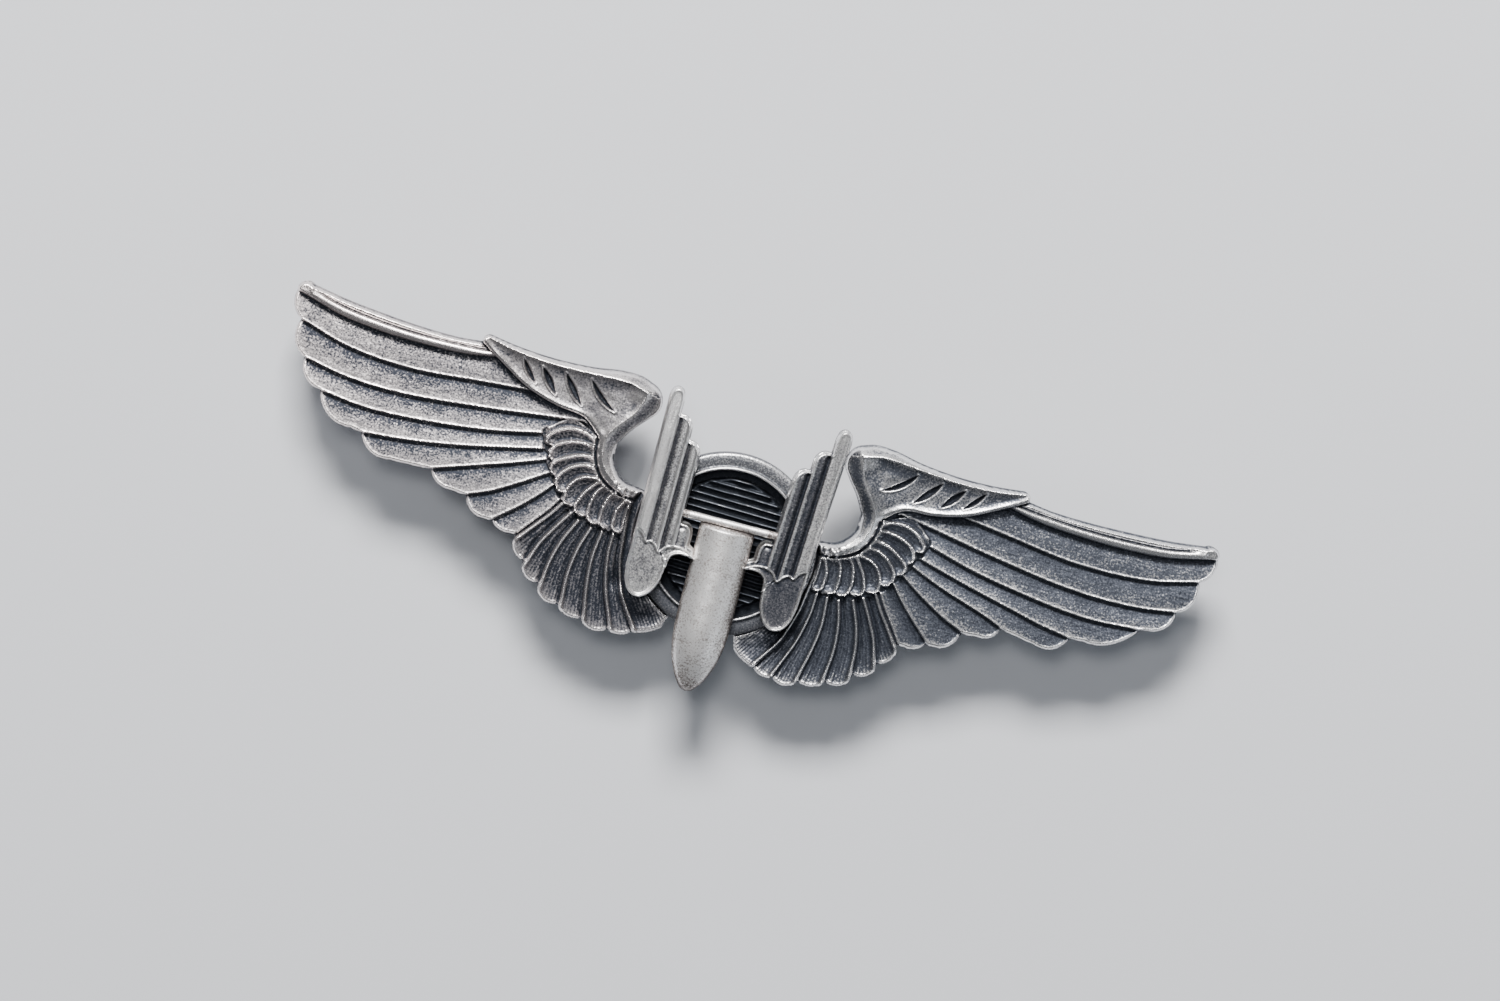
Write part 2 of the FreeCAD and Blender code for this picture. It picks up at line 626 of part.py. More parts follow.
def catch_rotor():
    """Slotted rotor with a flange at each end and a thumb lug on each flange."""
    half = "housing_length / 2 + flange_gap"
    start = f"catch_x - ( {half} ) - flange_thick"
    far = f"catch_x + {half}"
    barrel = cylinder("rotor_barrel", "rotor_radius", f"2 * ( {half} + flange_thick )",
                      start, "pin_y", "pin_z", "X")
    parts = [barrel]
    for end, x in (("near", start), ("far", far)):
        parts.append(cylinder(f"rotor_flange_{end}", "flange_radius", "flange_thick", x, "pin_y", "pin_z", "X"))
        parts.append(box(f"rotor_lug_{end}", "flange_thick", "lug_reach", "lug_width",
                         x, "pin_y - lug_reach", "pin_z - lug_width / 2"))
    bore = cylinder("rotor_hole", "rotor_bore", f"2 * ( {half} + flange_thick )", start, "pin_y", "pin_z", "X")
    slot = box("rotor_slot_cut", f"2 * ( {half} + flange_thick )", "rotor_slot", "2 * flange_radius",
               start, "pin_y - rotor_slot / 2", "pin_z - 2 * flange_radius")
    return cut("catch_rotor", fuse("rotor_blank", parts), fuse("rotor_opening", [bore, slot]))


# ---------------------------------------------------------------- build, check and write
NODES = [
    wing("left_wing", -1),
    wing("right_wing", 1),
    centre_ring(),
    ribbed_disc(),
    bullet(),
    winglet("left_winglet", -1),
    winglet("right_winglet", 1),
    cross_bar(),
    foot("hinge_pad", "hinge_x"),
    hinge_bracket(),
    hinge_rivet(),
    pin_stem(),
    foot("catch_pad", "catch_x"),
    catch_housing(),
    catch_rotor(),
]
doc.recompute()

for obj in doc.Objects:
    if "Invalid" in obj.State or "Error" in obj.State:
        raise RuntimeError(f"{obj.Name} failed: {obj.State}")

os.makedirs("parts", exist_ok=True)
for node in NODES:
    node.Label = node.Name
    shape = node.Shape
    if shape.isNull() or not shape.isValid() or not shape.Solids:
        raise RuntimeError(f"{node.Label} has no valid shape")
    shape.exportStep(f"parts/{node.Label}.step")
    print(f"{node.Label}: {len(shape.Solids)} solid, {shape.Volume:.2f} mm3, {shape.BoundBox}")
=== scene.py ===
from math import cos, pi, radians, sin

import bpy
import numpy as np
from mathutils import Matrix, Vector


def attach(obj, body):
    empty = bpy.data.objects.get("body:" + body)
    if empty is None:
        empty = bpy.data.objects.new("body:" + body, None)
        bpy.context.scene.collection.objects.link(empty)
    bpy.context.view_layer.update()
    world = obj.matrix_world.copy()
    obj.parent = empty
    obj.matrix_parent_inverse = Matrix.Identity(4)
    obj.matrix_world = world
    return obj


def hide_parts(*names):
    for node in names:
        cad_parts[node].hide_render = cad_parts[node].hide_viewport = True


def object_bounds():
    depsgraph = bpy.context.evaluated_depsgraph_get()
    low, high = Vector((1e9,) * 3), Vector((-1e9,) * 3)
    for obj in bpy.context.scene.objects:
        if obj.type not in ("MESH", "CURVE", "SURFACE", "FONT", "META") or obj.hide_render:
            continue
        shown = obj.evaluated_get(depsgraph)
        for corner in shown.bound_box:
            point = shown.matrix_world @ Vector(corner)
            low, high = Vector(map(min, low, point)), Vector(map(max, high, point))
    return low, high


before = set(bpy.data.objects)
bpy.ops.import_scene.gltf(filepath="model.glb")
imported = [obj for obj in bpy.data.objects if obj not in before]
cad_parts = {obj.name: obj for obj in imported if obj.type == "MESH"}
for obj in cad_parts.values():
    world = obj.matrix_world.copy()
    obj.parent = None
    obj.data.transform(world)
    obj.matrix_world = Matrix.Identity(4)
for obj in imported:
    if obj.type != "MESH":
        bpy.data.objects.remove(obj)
CAD_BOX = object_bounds()

MM = 0.001
# All lengths below are in mm up to the last step, where a mesh is made.
PITCH = 0.068  # spacing of a relief's points


# ---------------------------------------------------------------- outlines and distances
def smooth_path(points, per_span=10):
    """Points along a centripetal Catmull-Rom curve through the given ones."""
    p = np.array(points, float)
    p = np.vstack([2 * p[0] - p[1], p, 2 * p[-1] - p[-2]])
    out = []
    for a, b, c, d in zip(p, p[1:], p[2:], p[3:]):
        t = np.cumsum([0.0] + [max(np.linalg.norm(v) ** 0.5, 1e-6) for v in (b - a, c - b, d - c)])
        for u in np.linspace(t[1], t[2], per_span, endpoint=False):
            ab = (a * (t[1] - u) + b * (u - t[0])) / (t[1] - t[0])
            bc = (b * (t[2] - u) + c * (u - t[1])) / (t[2] - t[1])
            cd = (c * (t[3] - u) + d * (u - t[2])) / (t[3] - t[2])
            abc = (ab * (t[2] - u) + bc * (u - t[0])) / (t[2] - t[0])
            bcd = (bc * (t[3] - u) + cd * (u - t[1])) / (t[3] - t[1])
            out.append((abc * (t[2] - u) + bcd * (u - t[1])) / (t[2] - t[1]))
    out.append(p[-2])
    return np.array(out)


def arc_path(start, via, end, steps=10):
    """Points along the circle arc through three points."""
    (ax, ay), (bx, by), (cx, cy) = start, via, end
    k = 2 * (ax * (by - cy) + bx * (cy - ay) + cx * (ay - by))
    ux = ((ax**2 + ay**2) * (by - cy) + (bx**2 + by**2) * (cy - ay) + (cx**2 + cy**2) * (ay - by)) / k
    uy = ((ax**2 + ay**2) * (cx - bx) + (bx**2 + by**2) * (ax - cx) + (cx**2 + cy**2) * (bx - ax)) / k
    a0, a1, a2 = (np.arctan2(y - uy, x - ux) for x, y in (start, via, end))
    sweep = (a2 - a0) % (2 * pi)
    if (a1 - a0) % (2 * pi) > sweep:
        sweep -= 2 * pi
    a = a0 + sweep * np.linspace(0, 1, steps + 1)
    reach = np.hypot(ax - ux, ay - uy)
    return np.stack([ux + reach * np.cos(a), uy + reach * np.sin(a)], 1)


def extended(path, before, after):
    """The path with straight leads added at its two ends."""
    head = path[0] - path[1]
    tail = path[-1] - path[-2]
    first = path[0] + head / np.linalg.norm(head) * before
    last = path[-1] + tail / np.linalg.norm(tail) * after
    return np.vstack([first, path, last])


def beside(X, Y, path):
    """Distance from each point to an open path, positive on its left."""
    best = np.full(X.shape, 1e9)
    side = np.ones(X.shape)
    for (ax, ay), (bx, by) in zip(path, path[1:]):
        ex, ey = bx - ax, by - ay
        span = ex * ex + ey * ey
        if span < 1e-12:
            continue
        t = np.clip(((X - ax) * ex + (Y - ay) * ey) / span, 0, 1)
        d = (X - ax - t * ex) ** 2 + (Y - ay - t * ey) ** 2
        near = d < best - 1e-9
        best = np.where(near, d, best)
        side = np.where(near, np.sign(ex * (Y - ay) - ey * (X - ax)), side)
    return np.sqrt(best) * np.where(side == 0, 1, side)


def within(X, Y, loop):
    """Distance from each point to a closed outline, positive inside."""
    closed = np.vstack([loop, loop[:1]])
    inside = np.zeros(X.shape, bool)
    for (ax, ay), (bx, by) in zip(closed, closed[1:]):
        if ay != by:
            crosses = ((ay > Y) != (by > Y)) & (X < (bx - ax) * (Y - ay) / (by - ay) + ax)
            inside ^= crosses
    return np.abs(beside(X, Y, closed)) * np.where(inside, 1, -1)


def ease(t):
    """Smooth step from 0 at t = 0 to 1 at t = 1."""
    t = np.clip(t, 0, 1)
    return t * t * (3 - 2 * t)


def lay(under, over, depth, soft):
    """Lay one surface over another; depth is how far inside the upper one's edge a point is.

    soft is the width of the step between them."""
    f = ease(depth / soft)
    return under * (1 - f) + over * f


def bell(d, width):
    """Rounded bump, 1 where d is 0 and fading over the width."""
    return np.exp(-((d / width) ** 2))


LATTICE = 97               # a ripple repeats after this many steps
RIPPLE_START = 31.7, 47.3  # where on its lattice a ripple starts


def ripple(X, Y, scale, seed):
    """Smooth random height from -1 to 1 that varies over about one scale."""
    lattice = np.random.default_rng(seed).uniform(-1, 1, (LATTICE, LATTICE))
    u, v = X / scale + RIPPLE_START[0], Y / scale + RIPPLE_START[1]
    i, j = np.floor(u).astype(int), np.floor(v).astype(int)
    fu, fv = ease(u - i), ease(v - j)
    i0, i1, j0, j1 = i % LATTICE, (i + 1) % LATTICE, j % LATTICE, (j + 1) % LATTICE
    low = lattice[j0, i0] * (1 - fu) + lattice[j0, i1] * fu
    high = lattice[j1, i0] * (1 - fu) + lattice[j1, i1] * fu
    return low * (1 - fv) + high * fv


def blur(values, width):
    """Gaussian average over a width in mm."""
    reach = max(1, int(2.6 * width / PITCH))
    taps = np.exp(-((np.arange(-reach, reach + 1) * PITCH / width) ** 2) / 2)
    taps /= taps.sum()
    for axis in (0, 1):
        padded = np.pad(values, [(reach, reach) if a == axis else (0, 0) for a in (0, 1)], mode="edge")
        values = sum(
            w * (padded[k:k + values.shape[0]] if axis == 0 else padded[:, k:k + values.shape[1]])
            for k, w in enumerate(taps)
        )
    return values


# ---------------------------------------------------------------- relief meshes
def grid_over(low, high):
    """Evenly spaced points over a rectangle, as two arrays."""
    x = np.arange(low[0], high[0] + PITCH, PITCH)
    y = np.arange(low[1], high[1] + PITCH, PITCH)
    return np.meshgrid(x, y)


EDGE_DROP, EDGE_ROUND = 0.30, 0.22  # how far and over what width a relief's outer edge rounds down
PLAIN_POLISH, WALL_POLISH = 0.46, 0.35
# Blur width, the rise above the blur that counts as one, how much it adds, and its limit.
FINE_WEAR = 0.13, 0.07, 0.24, 1.6
WIDE_WEAR = 0.45, 0.22, 0.20, 1.5


def rounded(height, edge):
    """The relief with its outer edge rounded down."""
    return height - EDGE_DROP * (1 - ease(edge / EDGE_ROUND))


def polish_and_shade_of(height, depth, tone, drop=0.3):
    """How worn a relief is at each point: near 1 on ridges and 0 in hollows, plus the given tone, which holds
    painted light and shade.

    drop is how far the surroundings lie below the relief's edge."""
    filled = np.where(depth > 0, height, height - drop)
    wear_and_shade = PLAIN_POLISH
    for width, rise, amount, limit in (FINE_WEAR, WIDE_WEAR):
        above = (height - blur(filled, width)) / rise
        wear_and_shade = wear_and_shade + amount * np.clip(above, -limit, limit)
    return np.clip(wear_and_shade + tone, 0, 1)


def made(name, points, faces, wear_and_shade, flat_faces=()):
    """New object from points in metres, smooth but for the flat faces, with its wear and painted shade
    stored.
    """
    mesh = bpy.data.meshes.new(name)
    mesh.from_pydata(points, [], faces)
    smooth = np.ones(len(faces), bool)
    smooth[list(flat_faces)] = False
    mesh.polygons.foreach_set("use_smooth", smooth)
    # Stored per point: wear and oxide together with painted light and shade.
    note = mesh.attributes.new("polish_and_shade", "FLOAT", "POINT")
    note.data.foreach_set("value", np.array(wear_and_shade, np.float32))
    piece = bpy.data.objects.new(name, mesh)
    bpy.context.scene.collection.objects.link(piece)
    return piece


def clip_relief(depth):
    """Triangles of the grid where depth is positive, cut along its edge.

    Returns the depths, the whole triangles, the pairs of grid points that the edge crosses
    between, the cut faces, and the edge's segments."""
    rows, cols = depth.shape
    n = np.arange(rows * cols).reshape(rows, cols)
    a, b, c, d = n[:-1, :-1].ravel(), n[:-1, 1:].ravel(), n[1:, 1:].ravel(), n[1:, :-1].ravel()
    tris = np.vstack([np.stack([a, b, c], 1), np.stack([a, c, d], 1)])
    s = np.where(np.abs(depth.ravel()) < 1e-6, 1e-6, depth.ravel())
    inner = s[tris] > 0
    count = inner.sum(1)
    whole = tris[count == 3]
    cut_edges, faces, rim = {}, [], []

    def crossing(p, q):
        key = (min(p, q), max(p, q))
        return ("cut", cut_edges.setdefault(key, len(cut_edges)))

    partly = (count == 1) | (count == 2)
    for tri, flags in zip(tris[partly], inner[partly]):
        lone = int(np.argmax(flags)) if flags.sum() == 1 else int(np.argmin(flags))
        p, q, r = (int(tri[(lone + k) % 3]) for k in range(3))
        first, second = crossing(p, q), crossing(p, r)
        if flags.sum() == 1:
            faces.append((("grid", p), first, second))
            rim.append((first[1], second[1]))
        else:
            faces.append((first, ("grid", q), ("grid", r)))
            faces.append((first, ("grid", r), second))
            rim.append((second[1], first[1]))
    return s, whole, cut_edges, faces, rim


def relief(name, X, Y, height, depth, polish_and_shade, base, shape_to=lambda x, y: (x, y, False)):
    """Closed mesh with a relief on top, upright walls and a flat back at the base height.

    shape_to turns the flat coordinates into the badge's own and says whether it mirrors them."""
    s, whole, cut_edges, cut_faces, rim = clip_relief(depth)
    used = np.zeros(X.size, bool)
    used[whole.ravel()] = True
    for face in cut_faces:
        for kind, index in face:
            if kind == "grid":
                used[index] = True
    place = np.cumsum(used) - 1
    kept = int(used.sum())
    flat = np.stack([X.ravel(), Y.ravel(), height.ravel(), polish_and_shade.ravel()], 1)
    pairs = np.array(list(cut_edges), int).reshape(-1, 2)
    share = (s[pairs[:, 0]] / (s[pairs[:, 0]] - s[pairs[:, 1]]))[:, None]
    edge_points = flat[pairs[:, 0]] * (1 - share) + flat[pairs[:, 1]] * share
    top = np.vstack([flat[used], edge_points])
    floor_points = edge_points.copy()
    floor_points[:, 2] = base
    points = np.vstack([top, floor_points])
    faces = [tuple(int(place[v]) for v in tri) for tri in whole]
    faces += [tuple(int(place[i]) if kind == "grid" else kept + i for kind, i in face) for face in cut_faces]
    below = len(edge_points)
    ahead = dict(rim)
    faces += [(kept + q, kept + p, kept + p + below, kept + q + below) for p, q in rim]
    backs = []
    left = set(ahead)
    while left:
        start = min(left)
        loop, here = [], start
        while here in left:
            left.discard(here)
            loop.append(kept + here + below)
            here = ahead[here]
        if len(loop) > 2:
            backs.append(len(faces))
            faces.append(tuple(loop[::-1]))
    x, y, mirrored = shape_to(points[:, 0], points[:, 1])
    co = np.stack([x, y, points[:, 2]], 1) * MM
    if mirrored:
        faces = [f[::-1] for f in faces]
    wear_and_shade = points[:, 3].copy()
    wear_and_shade[len(top):] = WALL_POLISH
    return made(name, co.tolist(), faces, wear_and_shade, backs)


# ---------------------------------------------------------------- wings
# A wing is drawn with x counted away from the middle of the badge, in mm.
# Each feather's rounded end: where it leaves the feather above, its end, its heel.
FEATHER_ENDS = [
    [(38.0, 9.75), (37.95, 8.7), (37.15, 7.7)],
    [(37.1, 7.6), (37.2, 6.2), (36.1, 4.85)],
    [(36.05, 4.75), (35.75, 3.6), (34.2, 2.7)],
    [(34.1, 2.6), (33.3, 1.2), (31.0, 0.5)],
    [(30.1, 0.35), (29.4, -0.65), (27.4, -1.08)],
    [(24.05, -0.9), (23.3, -1.75), (22.2, -2.0)],
    [(20.8, -2.1), (20.2, -3.05), (19.3, -3.45)],
    [(18.3, -3.45), (17.4, -3.98), (16.6, -3.98)],
    [(16.1, -3.95), (16.0, -5.2), (15.1, -5.8)],
    [(15.0, -5.85), (14.7, -6.8), (13.5, -7.2)],
    [(13.4, -7.25), (13.0, -8.1), (11.5, -8.4)],
    [(11.4, -8.45), (10.5, -9.05), (9.4, -9.0)],
    [(9.3, -9.0), (8.2, -9.6), (7.1, -9.25)],
    [(7.0, -9.2), (6.1, -9.35), (5.2, -8.9)],
    [(5.1, -8.85), (4.0, -8.55), (3.0, -7.9)],
]
# The line where each feather meets the one above it, from its root to the notch at its end.
FEATHER_LINES = [
    [(18.3, 7.25), (22.0, 6.85), (28.0, 6.25), (33.0, 6.55), (36.9, 7.55)],
    [(16.4, 5.65), (21.0, 4.95), (28.0, 4.15), (32.5, 4.2), (35.9, 4.75)],
    [(16.2, 4.3), (21.0, 3.2), (28.0, 2.35), (31.0, 2.3), (33.9, 2.6)],
    [(15.7, 3.15), (19.0, 2.3), (23.0, 1.35), (27.0, 0.65), (29.9, 0.35)],
    [(15.4, 2.35), (18.0, 1.3), (21.0, 0.2), (23.9, -0.85)],
    [(14.9, 1.4), (17.0, -0.05), (19.0, -1.3), (20.7, -2.05)],
    [(14.3, 0.6), (15.2, -0.5), (16.5, -1.85), (18.2, -3.35)],
    [(13.5, -0.4), (14.2, -1.5), (15.2, -2.8), (16.0, -3.85)],
    [(12.7, -1.0), (13.6, -2.5), (14.4, -4.0), (14.95, -5.75)],
    [(11.9, -1.3), (12.8, -3.4), (13.25, -5.3), (13.35, -7.15)],
    [(10.8, -1.6), (11.35, -3.5), (11.6, -5.8), (11.4, -8.35)],
    [(9.9, -1.7), (10.1, -4.0), (9.9, -6.2), (9.35, -8.9)],
    [(9.0, -1.7), (8.95, -3.4), (8.4, -6.0), (7.1, -9.1)],
    [(8.1, -2.0), (7.85, -3.8), (7.0, -6.2), (5.2, -8.75)],
]
FIRST_FAN = 8  # feathers from this one on hang down in a fan
RIM_EDGE = [(22.9, 9.95), (25.0, 9.72), (28.0, 9.7), (31.0, 9.85), (34.0, 10.1), (36.8, 10.5)]
RIM_END = [(36.8, 10.5), (37.85, 10.4), (38.0, 9.75)]
RIM_FOOT = [(38.0, 9.75), (36.5, 9.35), (34.0, 8.75), (31.0, 8.45), (28.0, 8.4), (24.0, 8.6), (20.8, 9.2)]
RIM_GROOVE = [(20.5, 9.9), (22.3, 9.5), (25.0, 9.28), (28.0, 9.18), (31.0, 9.28), (34.0, 9.58), (36.5, 10.15)]
SHOULDER_TOP = [(8.9, 10.5), (10.0, 10.85), (11.6, 10.85), (14.0, 10.45), (17.0, 10.25), (20.0, 10.35),
                (22.4, 10.65)]
SHOULDER_BULGE = [(8.4, 8.0), (7.9, 9.2), (8.9, 10.5)]
SHOULDER_CORNER = [(22.4, 10.65), (22.85, 10.4), (22.9, 9.95)]
SHOULDER_FOOT = [(22.9, 9.95), (21.3, 9.0), (18.4, 7.45), (15.8, 6.75), (13.6, 6.5), (12.1, 5.4)]
SHOULDER_RIDGE = [(9.6, 9.9), (11.0, 10.15), (13.0, 10.05), (16.0, 9.88), (18.5, 9.9), (20.5, 10.1),
                  (22.4, 10.5)]
NECK_UPPER = [(8.4, 8.0), (9.6, 6.6), (10.4, 5.3)]
NECK_LOWER = [(10.4, 5.3), (10.35, 3.9), (9.3, 2.6), (7.4, 2.2)]
NECK_OUTER = [(12.1, 5.4), (11.9, 3.9), (11.1, 2.4), (9.6, 1.5), (7.9, 1.2)]
NECK_RIDGE = [(9.3, 9.4), (9.9, 8.0), (10.8, 6.8), (11.4, 5.8), (11.5, 4.8), (11.2, 3.6), (10.6, 2.8),
              (9.4, 1.9)]
COVERT_TIPS = [(16.1, 5.0), (16.2, 4.0), (15.45, 2.9), (14.95, 1.7), (14.2, 0.6), (13.3, -0.4), (12.1, -1.0),
               (10.9, -1.45), (9.9, -1.55), (8.9, -1.55), (8.1, -1.5)]
# Raised edge of each small covert feather, from its root round its tip.
COVERT_RIMS = [
    [(12.2, 5.5), (12.7, 6.0), (13.4, 6.3), (14.2, 6.4), (15.0, 6.25), (15.7, 5.9), (16.05, 5.5),
     (16.1, 5.1)],
    [(12.3, 5.15), (13.0, 5.42), (13.9, 5.48), (14.8, 5.25), (15.5, 4.78), (15.95, 4.2), (15.9, 3.85),
     (15.6, 3.72)],
    [(12.2, 4.55), (13.1, 4.58), (14.0, 4.4), (14.9, 3.98), (15.3, 3.5), (15.42, 3.0), (15.25, 2.72)],
    [(12.0, 3.78), (13.1, 3.55), (14.0, 3.1), (14.7, 2.6), (15.03, 2.15), (15.0, 1.8), (14.7, 1.52)],
    [(11.8, 3.0), (12.6, 2.9), (13.4, 2.5), (14.0, 1.9), (14.3, 1.3), (14.3, 0.8), (14.0, 0.42),
     (13.65, 0.35)],
    [(11.3, 2.2), (12.2, 2.0), (12.8, 1.6), (13.2, 1.0), (13.4, 0.2), (13.32, -0.35), (12.7, -0.5)],
    [(11.0, 2.05), (11.5, 1.4), (11.9, 0.8), (12.15, 0.2), (12.3, -0.4), (12.12, -0.9), (11.5, -1.0)],
    [(10.45, 1.85), (10.9, 1.3), (11.15, 0.6), (11.25, -0.2), (11.15, -0.9), (10.88, -1.28), (10.4, -1.35)],
    [(9.5, 1.65), (9.95, 1.0), (10.15, 0.2), (10.2, -0.6), (10.05, -1.28), (9.6, -1.48)],
    [(8.6, 1.15), (8.9, 0.6), (9.1, 0.0), (9.1, -0.7), (8.95, -1.35), (8.5, -1.53)],
    [(8.2, 1.1), (8.3, 0.2), (8.28, -0.6), (8.12, -1.5)],
]
COVERT_HUB, COVERT_BULGE = (11.0, 4.2), 0.3  # the coverts' scallops bulge away from the hub
COVERT_BACK = (14.4, 6.2)
# Each slit is a leaf between two arcs: top, outer side, bottom, inner side.
SLITS = [[(19.4, 9.7), (19.0, 8.85), (17.95, 8.0), (18.6, 9.0)],
         [(17.75, 9.45), (17.3, 8.5), (16.2, 7.6), (16.75, 8.7)],
         [(15.85, 9.5), (15.3, 8.35), (14.0, 7.35), (14.8, 8.6)],
         [(13.8, 9.6), (13.1, 8.5), (11.3, 7.6), (12.4, 8.5)]]
KNOB = (9.75, 9.4)
SOLDER = (8.8, 1.8)      # middle of the lumpy patch at the foot of the neck
RING_TOUCH = 7.26        # radius of the wing's edge along the ring
RING_TOUCH_FOOT, RING_TOUCH_HEAD = -6.75, 2.0
# Levels above the flat back.
FEATHER_ROOT, FIRST_ROOT, FEATHER_FACE = 1.06, 1.20, 1.40
FAN_FLOOR, COVERT_FLOOR, RIM_FLOOR = 1.04, 1.26, 1.38
SHOULDER_FACE, SHOULDER_SIDE, BEVEL_TOP, RIDGE_TOP, WING_TOP = 2.00, 2.26, 2.34, 2.36, 2.4
NECK_BANK, NECK_CREST, NECK_SPREAD = 1.74, 2.08, 0.5
BARB_PITCH, COVERT_BARB_PITCH = 0.25, 0.27


def wing_loop():
    """The whole outline of a wing."""
    runs = [arc_path(*SHOULDER_BULGE), smooth_path(SHOULDER_TOP), arc_path(*SHOULDER_CORNER)]
    runs += [smooth_path(RIM_EDGE), arc_path(*RIM_END)]
    runs += [arc_path(*feather) for feather in FEATHER_ENDS]
    y = np.linspace(RING_TOUCH_FOOT, RING_TOUCH_HEAD, 40)
    runs.append(np.stack([np.sqrt(RING_TOUCH**2 - y**2), y], 1))
    runs += [smooth_path(NECK_LOWER[::-1]), smooth_path(NECK_UPPER[::-1])]
    return np.vstack(runs)


def collar_loop():
    """Outline of the shoulder and the neck that curls on from it, round the bay."""
    runs = [arc_path(*SHOULDER_BULGE), smooth_path(SHOULDER_TOP), arc_path(*SHOULDER_CORNER)]
    runs += [smooth_path(SHOULDER_FOOT), smooth_path(NECK_OUTER)]
    return np.vstack(runs + [smooth_path(NECK_LOWER[::-1]), smooth_path(NECK_UPPER[::-1])])


def covert_loop():
    """Scalloped edge of the coverts, closed round the neck's outer line."""
    runs = [smooth_path([NECK_OUTER[0], COVERT_BACK, COVERT_TIPS[0]])]
    for here, after in zip(COVERT_TIPS, COVERT_TIPS[1:]):
        middle = (np.array(here) + after) / 2
        away = middle - COVERT_HUB
        runs.append(arc_path(here, tuple(middle + away / np.linalg.norm(away) * COVERT_BULGE), after, 6))
    return np.vstack(runs + [smooth_path(NECK_OUTER[::-1])])


def feather_field(X, Y, edge):
    """Height and tone of the long feathers: eight shingled ones, then a fan of ridged ones."""
    lines = [extended(smooth_path(p), 3.0, 4.0) for p in FEATHER_LINES]
    signed = np.stack([beside(X, Y, line) for line in lines])
    index = (signed < 0).sum(0)
    foot = np.abs(beside(X, Y, extended(smooth_path(RIM_FOOT), 1.0, 3.0)))
    reach = np.concatenate([foot[None], np.abs(signed), np.maximum(edge, 0)[None]])
    above = np.take_along_axis(reach, index[None], 0)[0]
    below = np.take_along_axis(reach, index[None] + 1, 0)[0]
    last = index == len(FEATHER_LINES)
    tip = np.maximum(edge, 0)

    span = above + below + 1e-6
    across = above / span
    low = np.minimum(below, tip)
    start = np.where(index == 0, FIRST_ROOT, FEATHER_ROOT)
    rise = (FEATHER_FACE - start) * (1 - np.exp(-above / 0.55)) + 0.10 * ease(across)
    bead = 0.07 * bell(low - 0.13, 0.09)
    grain = 0.010 * ripple(X * 0.35, Y * 2.2, 0.16, 11)
    shingle = start + (rise + bead) * ease(below / 0.15) + grain

    ridge = 0.30 * bell(above - 0.26, 0.14)
    body = 0.26 * np.exp(-((above / 1.1) ** 2)) + 0.12 * bell(tip, 1.3)
    inner = 0.05 * bell(below - 0.40, 0.10)
    barbs = np.cos(above / BARB_PITCH * 2 * pi) * ease((above - 0.5) / 0.2)
    cut = ease(below / 0.26) * ease((above + 0.03) / 0.15)
    raised = (ridge + body + inner + 0.010 * barbs) * np.where(last, 1, cut)
    fan = FAN_FLOOR + raised + 0.08 * bell(tip - 0.16, 0.10)

    hanging = index >= FIRST_FAN
    h = np.where(hanging, fan, shingle)
    web = ease((8.3 - X) / 0.8) * ease((Y + 6.3) / 1.2)
    # Painted shade and highlight: each shingled feather is painted darker just under the feather above and
    # lighter towards its lower edge, and the bright line along that edge is partly wear and partly painted
    # highlight.
    shade = np.where(index == 0, -0.18 + 0.20 * np.exp(-above / 0.5), 0.34 * (across - 1.10))
    shade = shade - 0.16 * np.exp(-above / 0.4) - 0.10 * np.exp(-tip / 0.9) + 0.70 * bell(low - 0.10, 0.09)
    shade = shade + 0.04 * ripple(X * 0.3, Y, 1.0, 12)
    drape = -0.34 + 0.24 * bell(tip, 1.0) + 0.60 * bell(above - 0.25, 0.09) + 0.44 * bell(tip - 0.12, 0.08)
    drape = drape - np.where(last, 0.08, 0) + 0.10 * barbs
    tone = np.where(hanging, drape, shade)
    return h - 0.32 * web, tone - 0.3 * web


def covert_field(X, Y):
    """Height and tone of the small feathers: raised edges with engraved hollows inside them."""
    h = np.full(X.shape, COVERT_FLOOR)
    tone = np.full(X.shape, -0.22)
    for points in COVERT_RIMS:
        s = beside(X, Y, smooth_path(points))
        d = np.abs(s)
        barbs = 0.016 * np.cos(d / COVERT_BARB_PITCH * 2 * pi) * ease((d - 0.25) / 0.1)
        inside = np.where(s < 0, 0.26 * np.exp(-((d / 0.62) ** 2)) + barbs, 0)
        h = np.maximum(h, COVERT_FLOOR + 0.34 * bell(d, 0.15) + inside * (d < 1.3))
        lit = 0.72 * bell(d, 0.11) + 0.10 * np.where(s < 0, np.exp(-d / 0.4), 0)
        tone = np.maximum(tone, -0.24 + lit)
    return h, tone


